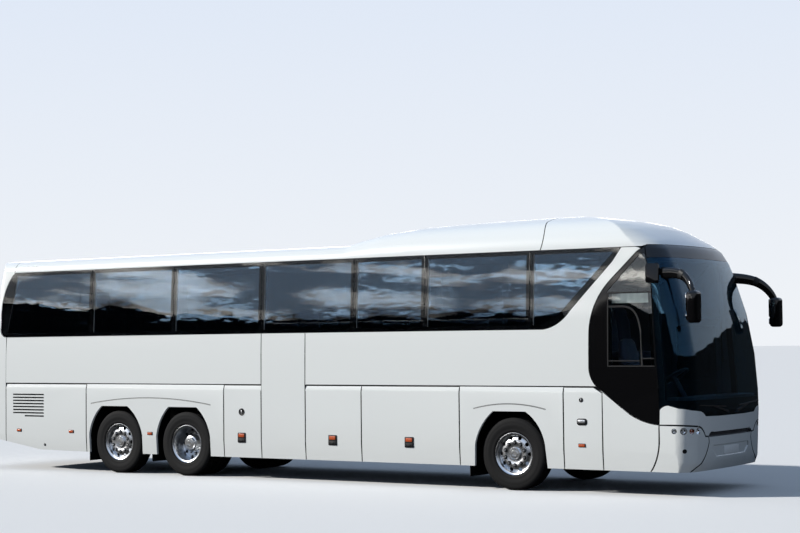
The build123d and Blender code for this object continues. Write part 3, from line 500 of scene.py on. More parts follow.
# Turned shapes
def spun(bm, profile, steps, closed=False):
    """Spins rows of (offset along the axle, radius) about the Y axis into bm."""
    verts = [bm.verts.new((radius, offset, 0)) for offset, radius in profile]
    pairs = list(zip(verts, verts[1:])) + ([(verts[-1], verts[0])] if closed else [])
    edges = [bm.edges.new(pair) for pair in pairs]
    bmesh.ops.spin(bm, geom=verts + edges, cent=(0, 0, 0), axis=(0, 1, 0), angle=2 * pi, steps=steps,
                   use_merge=True)
    bmesh.ops.remove_doubles(bm, verts=bm.verts, dist=1e-5)
    bmesh.ops.recalc_face_normals(bm, faces=bm.faces)


def joined(target, source, matrix=None):
    """Adds a copy of one bmesh to another, moved."""
    holder = bpy.data.meshes.new("holder")
    source.to_mesh(holder)
    if matrix is not None:
        holder.transform(matrix)
        if matrix.determinant() < 0:
            holder.flip_normals()
    target.from_mesh(holder)
    bpy.data.meshes.remove(holder)


# Tyres, from bead to bead over the sidewalls and a tread with four grooves
TREAD_BLOCK = 0.007
TREAD_FLOOR = TYRE_RADIUS - TREAD_BLOCK
TYRE_SIDE = (
    (0.110, 0.287), (0.120, 0.300), (0.127, 0.312), (0.136, 0.330), (0.1375, 0.338), (0.136, 0.346),
    (0.143, 0.375), (0.1475, 0.405), (0.1472, 0.430), (0.1455, 0.436), (0.1455, 0.441), (0.146, 0.447),
    (0.142, 0.470), (0.1375, 0.488), (0.131, 0.497), (0.122, TREAD_FLOOR - 0.002),
)
# Grooves of the tread: distances from the middle, half width at the top and at the foot, depth
GROOVES = (0.078, 0.026)
GROOVE_HALF, GROOVE_FOOT, GROOVE_DEPTH = 0.006, 0.005, 0.007


def tyre_shape(steps=90):
    """One tyre about the Y axis, its tread cut into blocks."""
    half = list(TYRE_SIDE)
    low = TREAD_FLOOR - GROOVE_DEPTH
    for at in GROOVES:
        half += [(at + GROOVE_HALF, TREAD_FLOOR), (at + GROOVE_FOOT, low), (at - GROOVE_FOOT, low),
                 (at - GROOVE_HALF, TREAD_FLOOR)]
    profile = half + [(-offset, radius) for offset, radius in half[::-1]]
    bm = bmesh.new()
    spun(bm, profile, steps, closed=True)
    blocks = [face for face in bm.faces
              if min(Vector((v.co.x, 0, v.co.z)).length for v in face.verts) > TREAD_FLOOR - 0.003]
    bmesh.ops.inset_individual(bm, faces=blocks, thickness=0.003, depth=TREAD_BLOCK - 0.0005)
    return bm


def wheel_matrix(x, y, side, turn=0.0):
    """Moves a shape made about the Y axis, facing outwards, to its axle end on one side."""
    flip = Matrix.Scale(side, 4, (0, 1, 0))
    return Matrix.Translation((x, side * y, AXLE_HEIGHT)) @ flip @ Matrix.Rotation(turn, 4, "Y")


def tyres(name, x, tracks, side, body):
    """One tyre, or two that turn together."""
    one = tyre_shape()
    bm = bmesh.new()
    for k, track in enumerate(tracks):
        joined(bm, one, wheel_matrix(x, track, side, 0.02 * k))
    one.free()
    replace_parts(finished(name + "_tread", bm, rubber, body, 40), name)


# Bright wheels, offsets measured outwards from the tyre's middle plane
RIM_EDGE = (
    (0.112, 0.291), (0.119, 0.300), (0.1255, 0.3015), (0.1262, 0.2985), (0.121, 0.293), (0.116, 0.283),
    (0.112, 0.272), (0.098, 0.267),
)
RIM_BACK = ((-0.110, 0.270), (-0.124, 0.298), (-0.126, 0.302), (-0.119, 0.302), (-0.112, 0.291))
SINGLE_DISC = (
    (0.066, 0.264), (0.060, 0.256), (0.064, 0.250), (0.081, 0.212), (0.084, 0.199), (0.078, 0.1965),
    (0.078, 0.193), (0.0925, 0.190), (0.0945, 0.185), (0.0945, 0.140), (0.090, 0.132), (0.090, 0.098),
)
HUB_CAP = (
    (0.090, 0.098), (0.0935, 0.094), (0.108, 0.0925), (0.1115, 0.089), (0.1125, 0.076), (0.109, 0.072),
    (0.109, 0.060), (0.1135, 0.056), (0.1145, 0.034), (0.111, 0.030), (0.111, 0.0),
)
TWIN_DISC = (
    (-0.060, 0.264), (-0.088, 0.262), (-0.098, 0.250), (-0.0985, 0.196), (-0.1, 0.150), (-0.096, 0.142),
)
TWIN_HUB = (
    (-0.096, 0.142), (-0.090, 0.132), (0.016, 0.129), (0.026, 0.124), (0.030, 0.116), (0.034, 0.104),
    (0.054, 0.100), (0.061, 0.094), (0.063, 0.076), (0.060, 0.072), (0.060, 0.058), (0.065, 0.054),
    (0.066, 0.030), (0.062, 0.026), (0.062, 0.0),
)
TWIN_DRUM = (
    (-0.112, 0.0), (-0.112, 0.262), (-0.13, 0.262), (-0.235, 0.262), (-0.24, 0.15), (-0.3, 0.13), (-0.3, 0.0),
)
RIM_WELL, WELL_BACK, HUB_RADIUS, DISC_THICKNESS = 0.262, -0.1, 0.12, 0.012
# Nuts and hand holes: the number of each, the circles they lie on, and a hole's radius
PER_WHEEL, NUT_CIRCLE, HOLE_CIRCLE, HOLE_RADIUS = 10, 0.162, 0.2315, 0.0295
# A nut's seat painted black as the shade round the nut, hexagon and domed end: from, to, radius, sides, which
# of the wheel's two finishes
NUT_STEPS = ((0.0, 0.002, 0.0305, 24, 1), (0.002, 0.022, 0.0155, 6, 0), (0.022, 0.029, 0.0115, 16, 0))


def drilled(piece, cutter_bm):
    """Cuts the holes for good, so that no modifier is left on the piece."""
    cutter = in_scene("cutter", mesh_from("cutter", cutter_bm))
    holes = piece.modifiers.new("holes", "BOOLEAN")
    holes.object = cutter
    holes.solver = "EXACT"
    bpy.context.view_layer.update()
    cut = bpy.data.meshes.new_from_object(piece.evaluated_get(bpy.context.evaluated_depsgraph_get()))
    bpy.data.objects.remove(cutter)
    return cut


def wheel_face(disc, hub, back):
    """Rim, disc and hub as one turned skin with thickness, its hand holes cut through."""
    front = RIM_EDGE + disc + hub[1:]
    rear = [(offset - DISC_THICKNESS, radius) for offset, radius in disc[::-1] if radius > HUB_RADIUS]
    profile = list(front) + [(back, 0.0), (back, HUB_RADIUS)] + rear
    profile += [(disc[0][0] - 0.02, RIM_WELL), (WELL_BACK, RIM_WELL)] + list(RIM_BACK)
    bm = bmesh.new()
    spun(bm, profile, 100, closed=True)
    holder = in_scene("holder", mesh_from("holder", bm))
    cutters = bmesh.new()
    for k in range(PER_WHEEL):
        turn = Matrix.Rotation(2 * pi * (k + 0.5) / PER_WHEEL, 4, "Y")
        place = turn @ Matrix.Translation((0, 0, HOLE_CIRCLE)) @ Matrix.Rotation(pi / 2, 4, "X")
        bmesh.ops.create_cone(cutters, cap_ends=True, segments=24, radius1=HOLE_RADIUS, radius2=HOLE_RADIUS,
                              depth=0.5, matrix=place)
    cut = drilled(holder, cutters)
    done = bmesh.new()
    done.from_mesh(cut)
    bpy.data.objects.remove(holder)
    return done


def wheel_nut(bm, seat, turn):
    """A hexagon nut with its domed end, on a seat painted black as shade."""
    for low, high, radius, segments, finish in NUT_STEPS:
        place = Matrix.Translation((0, seat + (low + high) / 2, NUT_CIRCLE))
        matrix = Matrix.Rotation(turn, 4, "Y") @ place @ Matrix.Rotation(-pi / 2, 4, "X")
        made = bmesh.ops.create_cone(bm, cap_ends=True, segments=segments, radius1=radius,
                                     radius2=radius * 0.9, depth=high - low, matrix=matrix)["verts"]
        for face in {face for vert in made for face in vert.link_faces}:
            face.material_index = finish


def placed(bm, x, track, side):
    """A wheel's shape moved to its axle end; the first one is given up."""
    moved = bmesh.new()
    joined(moved, bm, wheel_matrix(x, track, side))
    bm.free()
    return moved


def wheel(body, x, track, side, disc, hub, back, seat):
    """The bright outer wheel with its nuts, which stands for the wheel's node."""
    bm = wheel_face(disc, hub, back)
    for k in range(PER_WHEEL):
        wheel_nut(bm, seat, 2 * pi * k / PER_WHEEL)
    bm = placed(bm, x, track, side)
    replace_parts(finished(body + "_bright", bm, (alloy, trim_black), body, 30), body)


def inner_rim(side_name, side):
    """The twins' inner rim, hub drum and back disc, which show only from behind."""
    bm = bmesh.new()
    gap = TWIN_OUTER - TWIN_INNER
    profile = [(0.118 - gap, RIM_WELL), (0.118 - gap, 0.291)] + [(o - gap, r) for o, r in RIM_BACK[::-1]]
    spun(bm, profile + [(WELL_BACK - gap, RIM_WELL)], 72, closed=True)
    drum = bmesh.new()
    spun(drum, TWIN_DRUM, 48)
    joined(bm, drum)
    drum.free()
    bm = placed(bm, DRIVE_AXLE, TWIN_OUTER, side)
    finished("inner_rim_" + side_name, bm, steel, "wheel_drive_" + side_name, 30)


for side_name, side in SIDES:
    for axle, x in (("front", FRONT_AXLE), ("tag", TAG_AXLE)):
        body = "wheel_%s_%s" % (axle, side_name)
        tyres("tyre_%s_%s" % (axle, side_name), x, (SINGLE_TRACK,), side, body)
        wheel(body, x, SINGLE_TRACK, side, SINGLE_DISC, HUB_CAP, back=-0.01, seat=0.0945)
    body = "wheel_drive_" + side_name
    tyres("tyres_drive_" + side_name, DRIVE_AXLE, (TWIN_OUTER, TWIN_INNER), side, body)
    wheel(body, DRIVE_AXLE, TWIN_OUTER, side, TWIN_DISC, TWIN_HUB, back=-0.112, seat=-0.0985)
    inner_rim(side_name, side)


# Small shapes for the fittings
def rounded(bm, edges, offset, segments):
    bmesh.ops.bevel(bm, geom=edges, offset=offset, segments=segments, affect="EDGES", profile=0.5,
                    material=-1)


def plate_shape(width, height, thickness, corner, centre=(0, 0, 0)):
    """A flat plate with rounded corners and softened edges, its back on the XY plane."""
    bm = bmesh.new()
    bmesh.ops.create_cube(bm, size=1, matrix=block((0, 0, thickness / 2), (width, height, thickness)))
    upright = [e for e in bm.edges if abs((e.verts[0].co - e.verts[1].co).z) > thickness / 2]
    rounded(bm, upright, corner, 5)
    top = [e for e in bm.edges if all(v.co.z > thickness * 0.9 for v in e.verts)]
    rounded(bm, top, min(thickness, corner) * 0.35, 2)
    bmesh.ops.translate(bm, vec=centre, verts=bm.verts)
    return bm


def round_shape(rows):
    """A turned knob about +Z from rows of (height, radius)."""
    bm = bmesh.new()
    spun(bm, rows, 36)
    bmesh.ops.rotate(bm, cent=(0, 0, 0), matrix=Matrix.Rotation(pi / 2, 3, "X"), verts=bm.verts)
    return bm


def fitting(name, parts, material, body, place, normal):
    """Some shapes seated on the coach as one piece."""
    bm = bmesh.new()
    for part in parts:
        joined(bm, part)
        part.free()
    seated(bm, place, normal)
    return finished(name, bm, material, body)


# Each kind of fitting: its pieces' labels, shapes, finishes and slots
def lock_unit():
    dish = plate_shape(0.158, 0.156, 0.008, 0.014)
    grip = plate_shape(0.13, 0.056, 0.006, 0.012, (0, -0.042, 0.006))
    key_cover = plate_shape(0.05, 0.02, 0.008, 0.006, (0, -0.046, 0.01))
    marker = plate_shape(0.112, 0.056, 0.012, 0.01, (0, 0.036, 0.005))
    return (("lock_unit", (dish, grip, key_cover), trim_black, "black_trim"),
            ("lock_marker", (marker,), lamp_amber, "lamp_red"))


def pull_handle():
    dish = plate_shape(0.158, 0.094, 0.006, 0.034)
    grip = plate_shape(0.12, 0.05, 0.014, 0.018, (-0.004, 0.004, 0.004))
    return (("handle_dish", (dish,), trim_black, "black_trim"),
            ("handle_grip", (grip,), satin_metal, "bright_wheel"))


def round_lock(radius):
    dish = round_shape(((0.0, radius), (0.005, radius * 0.98), (0.007, radius * 0.9),
                        (0.003, radius * 0.76), (0.002, 0.0)))
    bar = plate_shape(radius * 0.34, radius * 1.1, 0.008, radius * 0.12, (0, 0, 0.002))
    return (("lock_dish", (dish,), trim_black, "black_trim"),
            ("lock_bar", (bar,), satin_metal, "bright_wheel"))


def side_marker():
    base = plate_shape(0.112, 0.052, 0.005, 0.008)
    lens = plate_shape(0.095, 0.036, 0.013, 0.008, (0, 0, 0.003))
    return (("marker_base", (base,), trim_black, "black_trim"),
            ("marker_lens", (lens,), lamp_amber, "lamp_red"))


# Places of the fittings on the sides: station, height, and the radius of a round lock
SIDE_FITTINGS = (
    (lock_unit, ((-4.865, 0.645), (-3.106, 0.645), (-1.719, 0.645))),
    (pull_handle, ((1.138, 0.991),)),
    (round_lock, ((-4.866, 1.048, 0.057), (1.127, 1.294, 0.032), (-9.17, 0.434, 0.022))),
    (side_marker, ((-9.772, 0.67), (-8.541, 0.67), (-6.78, 0.672), (1.132, 0.668))),
)
for side_name, side in SIDES:
    for kind, places in SIDE_FITTINGS:
        for k, (x, z, *sizes) in enumerate(places):
            under, place, normal = on_side(x, z, side)
            for label, parts, finish, slot in kind(*sizes):
                name = "%s_%s_%d" % (label, side_name, k + 1)
                fitting(name, parts, finish, BODY_OF[under], place, normal)

# Front lamps: station, half width, turn from straight ahead, radius, the bulb's share of the radius
LAMP_HEIGHT = 0.888
AMBER_LAMP = 2
FRONT_LAMPS = (
    (2.515, 1.274, 86, 0.038, 0.26), (2.634, 1.232, 52, 0.048, 0.26),
    (2.713, 1.152, 30, 0.042, 0.5), (2.753, 1.046, 12, 0.048, 0.26),
)
# Rows of offset along the lamp's line and share of its radius
LAMP_BOWL = (
    (-0.039, 0.0), (-0.037, 0.45), (-0.028, 0.78), (-0.012, 0.97), (-0.008, 0.98), (-0.008, 1.0),
    (-0.039, 1.0),
)
LAMP_LENS = ((-0.009, 0.0), (-0.009, 0.97), (-0.005, 0.985), (-0.001, 0.7), (0.0005, 0.0))
LAMP_LIFT, BULB_OFFSET = 0.009, -0.026


def lamp_part(label, rows, radius, aim, finish, closed=False):
    """A turned bowl or lens on a lamp's line."""
    bm = bmesh.new()
    spun(bm, [(offset, radius * share) for offset, share in rows], 40, closed=closed)
    bmesh.ops.transform(bm, matrix=aim, verts=bm.verts)
    return finished(label, bm, finish, "root")


reflectors = []
for side_name, side in SIDES:
    for k, (x, y, turn, radius, bulb_share) in enumerate(FRONT_LAMPS):
        way = Vector((cos(radians(turn)), side * sin(radians(turn)), 0))
        _, place, _ = outside(Vector((station(x), side * y, LAMP_HEIGHT)) + way * 0.5, -way)
        place += way * LAMP_LIFT
        aim = Matrix.Translation(place) @ Vector((0, 1, 0)).rotation_difference(way).to_matrix().to_4x4()
        tag = "_%s_%d" % (side_name, k + 1)
        reflectors.append(lamp_part("reflector" + tag, LAMP_BOWL, radius, aim, chrome, closed=True))
        bulb = bmesh.new()
        bmesh.ops.create_uvsphere(bulb, u_segments=20, v_segments=12, radius=radius * bulb_share,
                                  matrix=aim @ Matrix.Translation((0, BULB_OFFSET, 0)))
        finished("bulb" + tag, bulb, lamp_amber if k == AMBER_LAMP else plate_white, "root")
        lamp_part("lens" + tag, LAMP_LENS, radius, aim, lamp_glass)
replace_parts(reflectors[0], "head_lamps")

# Blank plate in the recess at the front
_, place, normal = outside((station(4), 0, 0.59), (-1, 0, 0))
plate = plate_shape(0.52, 0.112, 0.005, 0.01)
fitting("front_plate", (plate,), plate_white, "root", place, normal)


# Shapes drawn along a path
def swept(bm, path, widths, heights, up=(0, 0, 1), segments=16, power=1.0):
    """An oval section along a path; each pair holds its first and last width or height."""
    ring = bmesh.ops.create_circle(bm, cap_ends=False, segments=segments, radius=1)["verts"]
    outline = [vert.co.copy() for vert in ring]
    rings = [ring]
    while len(rings) < len(path):
        edges = [e for e in bm.edges if e.verts[0] in rings[-1] and e.verts[1] in rings[-1]]
        made = bmesh.ops.extrude_edge_only(bm, edges=edges)["geom"]
        grown = [v for v in made if isinstance(v, bmesh.types.BMVert)]
        order = {old: new for old in rings[-1] for new in grown if (old.co - new.co).length < 1e-7}
        rings.append([order[vert] for vert in rings[-1]])
    for k, ring in enumerate(rings):
        ahead = (Vector(path[min(k + 1, len(path) - 1)]) - Vector(path[max(k - 1, 0)])).normalized()
        across = ahead.cross(Vector(up)).normalized()
        upward = across.cross(ahead)
        share = k / (len(path) - 1)
        width = widths[0] + (widths[1] - widths[0]) * share
        height = heights[0] + (heights[1] - heights[0]) * share
        for vert, flat in zip(ring, outline):
            x, y = (abs(c) ** power * (1 if c > 0 else -1) for c in flat.xy)
            vert.co = Vector(path[k]) + across * x * width / 2 + upward * y * height / 2
    for ring in (rings[0], rings[-1]):
        bmesh.ops.contextual_create(bm, geom=ring)
    bmesh.ops.recalc_face_normals(bm, faces=bm.faces)


def curve_through(*runs, steps=14):
    """Points along joined Bezier runs, each of start, two handles and end."""
    points = []
    for run in runs:
        points += interpolate_bezier(*[Vector(p) for p in run], steps)[1 if points else 0:]
    return points


# Mirrors: a deep arm that bends down to the head, two glasses looking back
MIRROR_ARM = (
    ((2.205, 1.135, 3.012), (2.4, 1.185, 3.02), (2.59, 1.235, 3.03), (2.70, 1.285, 2.965)),
    ((2.70, 1.285, 2.965), (2.775, 1.325, 2.92), (2.85, 1.385, 2.83), (2.885, 1.41, 2.70)),
)
MIRROR_ELBOW = ((2.635, 1.262, 3.0), (2.655, 1.268, 2.99), (2.68, 1.278, 2.978), (2.695, 1.283, 2.967))
MIRROR_FOOT, FOOT_SIZE = (2.215, 3.02), (0.19, 0.27, 0.05, 0.035)
MIRROR_HEAD, HEAD_SIZE = (2.896, 1.415, 2.549), (0.155, 0.2, 0.43)
# A glass's label, width, height and place
MIRROR_GLASSES = (("main", 0.15, 0.26, (2.8175, 1.415, 2.611)), ("wide", 0.15, 0.09, (2.8175, 1.415, 2.418)))
# The left mirror reaches further ahead and hangs lower, by shares that grow from the root outwards
LEFT_AHEAD, LEFT_LOWER, ARM_ROOT, ARM_LENGTH = 0.042, 0.05, 2.2, 0.6


def mirror_place(x, y, z, side):
    """A place on a mirror, with the left one's own reach."""
    share = max(0.0, min(1.0, (x - ARM_ROOT) / ARM_LENGTH)) if side > 0 else 0.0
    return Vector((station(x) + LEFT_AHEAD * share, side * y, z - LEFT_LOWER * share))


for side_name, side in SIDES:
    arm = bmesh.new()
    arm_path = [[mirror_place(*place, side) for place in run] for run in MIRROR_ARM]
    swept(arm, curve_through(*arm_path), (0.075, 0.06), (0.165, 0.1), power=0.8)
    foot = plate_shape(*FOOT_SIZE)
    _, place, normal = on_side(*MIRROR_FOOT, side)
    seated(foot, place - normal * 0.012, normal)
    joined(arm, foot)
    foot.free()
    finished("mirror_arm_" + side_name, arm, gloss_black, smooth=40)
    clamp = bmesh.new()
    elbow = curve_through([mirror_place(*place, side) for place in MIRROR_ELBOW], steps=5)
    swept(clamp, elbow, (0.082, 0.08), (0.135, 0.13), power=0.8)
    finished("mirror_clamp_" + side_name, clamp, trim_black, smooth=40)
    head = bmesh.new()
    bmesh.ops.create_cube(head, size=1, matrix=block(mirror_place(*MIRROR_HEAD, side), HEAD_SIZE))
    rounded(head, head.edges, 0.05, 6)
    head_piece = finished("mirror_head_" + side_name, head, gloss_black, smooth=40)
    for label, width, height, place in MIRROR_GLASSES:
        glass = plate_shape(width, height, 0.006, 0.022)
        seated(glass, mirror_place(*place, side), Vector((-1, 0, 0)))
        finished("mirror_glass_%s_%s" % (label, side_name), glass, mirror_glass)
    if side > 0:
        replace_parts(head_piece, "mirrors")


# The driver's window, on the right: seal, frame of the opening pane, blind
def on_window(points, lift=0.001):
    """Places just off the coach's right side, from stations and heights."""
    found = []
    for x, z in points:
        _, place, normal = on_side(x, z, -1)
        found.append(place + normal * lift)
    return found


def flat_curve(*runs):
    """A curve of stations and heights."""
    return [(p.x, p.z) for p in curve_through(*[[(x, 0, z) for x, z in run] for run in runs], steps=10)]


def straight(a, b, steps=8):
    """A straight run of stations and heights."""
    return [(a[0] + (b[0] - a[0]) * k / steps, a[1] + (b[1] - a[1]) * k / steps) for k in range(steps + 1)]


STRIP_THICKNESS = 0.006
WINDOW_STRIPS = (
    ("seal_top", straight((1.548, 2.766), (2.19, 2.766)), 0.022),
    ("seal_low", straight((1.56, 1.831), (2.03, 1.831)), 0.016),
    ("seal_foot", straight((1.548, 1.757), (2.245, 1.757)), 0.02),
    ("seal_front", straight((2.05, 1.862), (2.24, 1.862)), 0.016),
    ("seal_upright", straight((1.548, 2.766), (1.548, 1.757)), 0.02),
    ("frame", [*straight((1.56, 2.575), (1.75, 2.575)),
               *flat_curve(((1.77, 2.575), (1.93, 2.57), (2.0, 2.47), (2.03, 2.3))),
               *straight((2.04, 2.25), (2.06, 1.76))], 0.03),
)
for label, points, width in WINDOW_STRIPS:
    bar = bmesh.new()
    up = (1, 0, 0) if label == "seal_upright" else (0, 0, 1)
    swept(bar, on_window(points), (STRIP_THICKNESS,) * 2, (width,) * 2, up=up, segments=12, power=0.6)
    finished("window_" + label, bar, trim_black, smooth=40)

# The blind hangs in shallow folds
BLIND_PLACE, BLIND_SIZE = (station(1.86), -1.165, 2.69), (0.62, 0.13)
FOLD_DEPTH, FOLDS = 0.006, 60
blind = bmesh.new()
hung = Matrix.Translation(BLIND_PLACE) @ Matrix.Rotation(pi / 2, 4, "X")
bmesh.ops.create_grid(blind, x_segments=24, y_segments=6, size=0.5,
                      matrix=hung @ Matrix.Diagonal((*BLIND_SIZE, 1, 1)))
for vert in blind.verts:
    vert.co.y += FOLD_DEPTH * sin(vert.co.x * FOLDS)
finished("blind", blind, blind_cloth, "root", 60)

# Cover of the towing eye, low on each corner of the bumper, and where it is looked for from
TOW_COVER, TOW_SEEN_FROM = (2.639, 1.224, 0.621), (3.6, 2.2)
for side_name, side in SIDES:
    x, y, z = TOW_COVER
    out_x, out_y = TOW_SEEN_FROM
    inwards = (station(x) - station(out_x), side * (y - out_y), 0)
    _, place, normal = outside((station(out_x), side * out_y, z), inwards)
    cover = round_shape(((0.0, 0.03), (0.003, 0.029), (0.004, 0.024), (0.001, 0.02), (0.0005, 0.0)))
    fitting("tow_cover_" + side_name, (cover,), trim_black, "root", place, normal)

# Mud flaps between the drive and tag wheels, hung from the wheel housings
MUD_STATION, MUD_INNER, MUD_OUTER, MUD_FOOT, MUD_TOP = -6.8, 0.76, 1.2, 0.21, 1.152
for side_name, side in SIDES:
    flap = plate_shape(MUD_OUTER - MUD_INNER, MUD_TOP - MUD_FOOT, 0.01, 0.03)
    place = Vector((station(MUD_STATION), side * (MUD_INNER + MUD_OUTER) / 2, (MUD_TOP + MUD_FOOT) / 2))
    seated(flap, place, Vector((1, 0, 0)))
    finished("mud_flap_" + side_name, flap, rubber)


# Stuffed seats
def pad(bm, centre, size, lean=0.0):
    """A stuffed block: a subdivided box whose faces swell and whose edges draw in."""
    part = bmesh.new()
    bmesh.ops.create_cube(part, size=1)
    bmesh.ops.subdivide_edges(part, edges=part.edges, cuts=3, use_grid_fill=True)
    for vert in part.verts:
        x, y, z = (abs(v) * 2 for v in vert.co)
        vert.co *= 1 - 0.10 * ((x * y) ** 4 + (y * z) ** 4 + (x * z) ** 4)
    bmesh.ops.smooth_vert(part, verts=part.verts, factor=0.35, use_axis_x=True, use_axis_y=True,
                          use_axis_z=True)
    shape = Matrix.Translation(centre) @ Matrix.Rotation(lean, 4, "Y") @ Matrix.Diagonal((*size, 1))
    joined(bm, part, shape)
    part.free()


SEAT_ROWS, SEAT_PITCH, FIRST_SEAT = 13, 0.81, 0.7
SEATS_ACROSS = (-0.95, -0.515, 0.515, 0.95)
# Parts of a seat: distance ahead of its station, height above the floor, size, lean
CUSHION = (0.21, 0.40, (0.46, 0.43, 0.13), 0.0)
BACK = (-0.02, 0.76, (0.12, 0.43, 0.72), -0.13)
HEADREST = (-0.085, 1.04, (0.10, 0.27, 0.16), -0.13)
CABIN_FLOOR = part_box("passenger_seats")[0].z
cushions, backs, plinths = bmesh.new(), bmesh.new(), bmesh.new()
for row in range(SEAT_ROWS):
    x = station(FIRST_SEAT - SEAT_PITCH * row)
    for y in SEATS_ACROSS:
        for bm, (ahead, up, size, lean) in ((cushions, CUSHION), (backs, BACK), (backs, HEADREST)):
            pad(bm, (x + ahead, y, CABIN_FLOOR + up), size, lean)
        plinth = block((x + 0.21, y, CABIN_FLOOR + 0.17), (0.34, 0.30, 0.34))
        bmesh.ops.create_cube(plinths, size=1, matrix=plinth)
cushion_piece = finished("seat_cushions", cushions, cloth, "root", 60)
back_piece = finished("seat_backs", backs, cloth, "root", 60)
finished("seat_plinths", plinths, trim_black)
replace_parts(cushion_piece, "passenger_seats")
driver = bmesh.new()
seat_low, seat_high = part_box("driver_seat")
seat_y = (seat_low.y + seat_high.y) / 2
pad(driver, (seat_high.x - 0.24, seat_y, seat_low.z + 0.44), (0.46, 0.49, 0.15))
pad(driver, (seat_low.x + 0.09, seat_y, seat_low.z + 0.84), (0.14, 0.47, 0.76), -0.12)
driver_piece = finished("driver_cushions", driver, cloth, "root", 60)
base = bmesh.new()
bmesh.ops.create_cone(base, cap_ends=True, segments=24, radius1=0.2, radius2=0.12, depth=0.37,
                      matrix=Matrix.Translation((seat_high.x - 0.26, seat_y, seat_low.z + 0.185)))
finished("driver_seat_base", base, trim_black)
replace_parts(driver_piece, "driver_seat")


# Floor, surroundings, light and camera
def stage_piece(name, bm, material):
    """A piece of the set, which is no part of the coach."""
    mesh = mesh_from(name, bm)
    mesh.materials.append(material)
    piece = in_scene(name, mesh)
    return piece


FLOOR_HALF = 400
floor_bm = bmesh.new()
bmesh.ops.create_grid(floor_bm, x_segments=1, y_segments=1, size=FLOOR_HALF)
ground = new_material("floor", (0.5, 0.5, 0.5), 0.9, Specular_IOR_Level=0.0)
path = node(ground, "LightPath")
bounce = two_colours(ground, (0.18, 0.18, 0.185), (0.02, 0.02, 0.02))
shade = two_colours(ground, second=(0.84, 0.85, 0.86))
link(ground, (path, "Is Glossy Ray"), (bounce, 0), (bounce, 2), (shade, 6),
     (path, "Is Camera Ray"), (shade, 0), (shade, 2), (shader_of(ground), "Base Color"))
stage_piece("floor", floor_bm, ground)

# A dark band all round, which only reflections show: direction from ahead in degrees, and the band's height
RING_RADIUS = 42
RING_TOP = (
    (0, 7.3), (95, 7.3), (110, 7.4), (112, 7.1), (115.2, 7.2), (119, 6.9), (121.6, 6.85), (123.2, 6.62),
    (126, 6.62), (128.6, 6.45), (131.8, 6.62), (132.8, 6.49), (136, 6.6), (137.2, 6.38), (139, 6.55),
    (142, 6.45), (180, 6.5),
)


def ring_top(turn):
    """Height of the dark band in one direction, the same to the left and to the right."""
    for (start, low), (end, high) in zip(RING_TOP, RING_TOP[1:]):
        if turn <= end:
            return low + (high - low) * (turn - start) / (end - start)
    return RING_TOP[-1][1]


def ring_of(low, rise, radius, segments=1800):
    """An upright band all round, its uneven upper edge a given rise above the dark band's."""
    band = bmesh.new()
    bmesh.ops.create_circle(band, cap_ends=False, radius=radius, segments=segments)
    upper = bmesh.ops.extrude_edge_only(band, edges=band.edges)["geom"]
    upper = {v for v in upper if isinstance(v, bmesh.types.BMVert)}
    for vert in band.verts:
        turn = atan2(vert.co.y, vert.co.x)
        waves = sin(turn * 53 + 2) + 0.5 * sin(turn * 131) + 0.3 * sin(turn * 307) + 0.15 * sin(turn * 613)
        vert.co.z = ring_top(abs(turn) * 180 / pi) + rise + 0.05 * waves if vert in upper else low
    return band


ring_finish = new_material("dark_ring", (0.004, 0.005, 0.006), 1.0)
ring_piece = stage_piece("dark_ring", ring_of(0.0, 0.0, RING_RADIUS), ring_finish)

# Bright streaks over it, thinner higher up, beside and behind the coach
glow = new_material("pale_streaks", (0, 0, 0), 1.0, Emission_Color=(1.0, 0.96, 0.91, 1))
streaks = noise(glow, 0.17, 8.0, (1, 1, 9))
brightness = node(glow, "MapRange", {"From Min": 0.42, "From Max": 0.66, "To Min": 1.2, "To Max": 6.5})
thinning = by_height(glow, 6.4, 9.6, 0.13, -0.02)
total = node(glow, "Math", operation="ADD")
cover = node(glow, "MapRange", {"From Min": 0.52, "From Max": 0.58})
shader = shader_of(glow)
link(glow, (streaks, "Fac"), (brightness, "Value"),
     (brightness, "Result"), (shader, "Emission Strength"),
     (thinning, "Result"), (total, 0), (streaks, "Fac"), (total, 1), (total, "Value"), (cover, "Value"),
     (cover, "Result"), (shader, "Alpha"))
STREAK_FOOT, STREAK_RISE, STREAK_FREE = 5.0, 3.4, 1.75
streak_band = ring_of(STREAK_FOOT, STREAK_RISE, RING_RADIUS + 1)
middles = {face: face.calc_center_median() for face in streak_band.faces}
in_front = [face for face, place in middles.items() if abs(atan2(place.y, place.x)) < STREAK_FREE]
bmesh.ops.delete(streak_band, geom=in_front, context="FACES")
streak_piece = stage_piece("clouds", streak_band, glow)
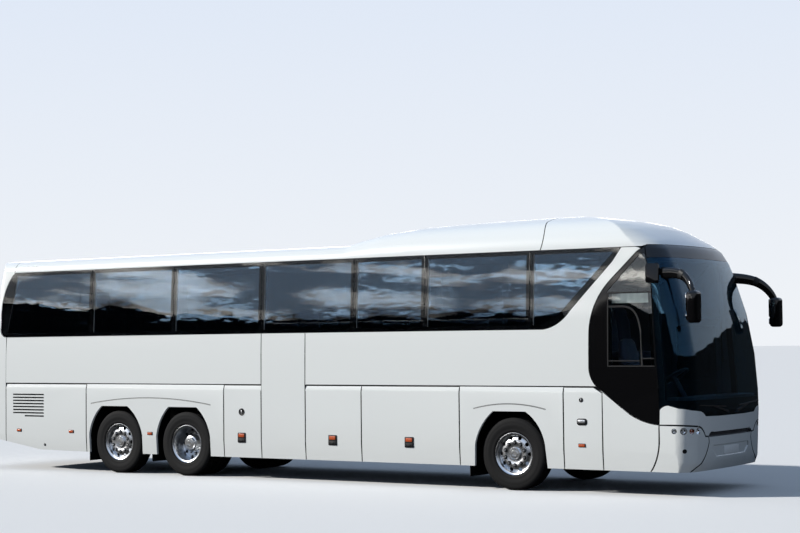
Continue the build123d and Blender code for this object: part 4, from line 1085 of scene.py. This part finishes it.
for band in (ring_piece, streak_piece):
    band.visible_camera = band.visible_diffuse = band.visible_shadow = False

# Plain light for the surfaces, and a pale to blue backdrop for camera, reflection and glass
world = bpy.data.worlds.new("world")
bpy.context.scene.world = world
world.use_nodes = True
background = world.node_tree.nodes["Background"]
path = node(world, "LightPath")
height = by_height(world, 0.02, 0.7, 0.0, 1.0, "Generated")
backdrop = two_colours(world, (0.86, 0.89, 0.93), (0.42, 0.6, 0.92))
seen = node(world, "Math", operation="MAXIMUM")
seen_at_all = node(world, "Math", operation="MAXIMUM")
shown = two_colours(world, (0.19, 0.245, 0.33))
link(world, (height, "Result"), (backdrop, 0), (path, "Is Camera Ray"), (seen, 0), (path, "Is Glossy Ray"),
     (seen, 1), (seen, "Value"), (seen_at_all, 0), (path, "Is Transmission Ray"), (seen_at_all, 1),
     (seen_at_all, "Value"), (shown, 0), (backdrop, 2), (shown, 7), (shown, 2), (background, "Color"))
background.inputs["Strength"].default_value = 1.0

sun = bpy.data.lights.new("sun", "SUN")
sun.energy = 4.25
sun.color = (1.0, 0.97, 0.92)
sun.angle = radians(2)
in_scene("sun", sun).rotation_euler = (radians(62), 0, radians(-55))

# The photo's camera: focal length and picture width in pixels, place from the front axle, turns
F_PIXELS, PHOTO_WIDTH, SENSOR_WIDTH = 1726.8, 800, 36
CAMERA = (12.248, -22.632, 2.128)
YAW, PITCH, ROLL = radians(33.43), radians(2.49), radians(-0.605)
camera = bpy.data.cameras.new("camera")
camera.lens = F_PIXELS * SENSOR_WIDTH / PHOTO_WIDTH
camera.sensor_width = SENSOR_WIDTH
camera.clip_end = 500
camera_object = in_scene("camera", camera)
camera_object.matrix_world = (Matrix.Translation((station(CAMERA[0]), CAMERA[1], CAMERA[2]))
                              @ Matrix.Rotation(YAW, 4, "Z") @ Matrix.Rotation(pi / 2 + PITCH, 4, "X")
                              @ Matrix.Rotation(ROLL, 4, "Z"))
bpy.context.scene.camera = camera_object
bpy.context.scene.view_settings.view_transform = "Standard"
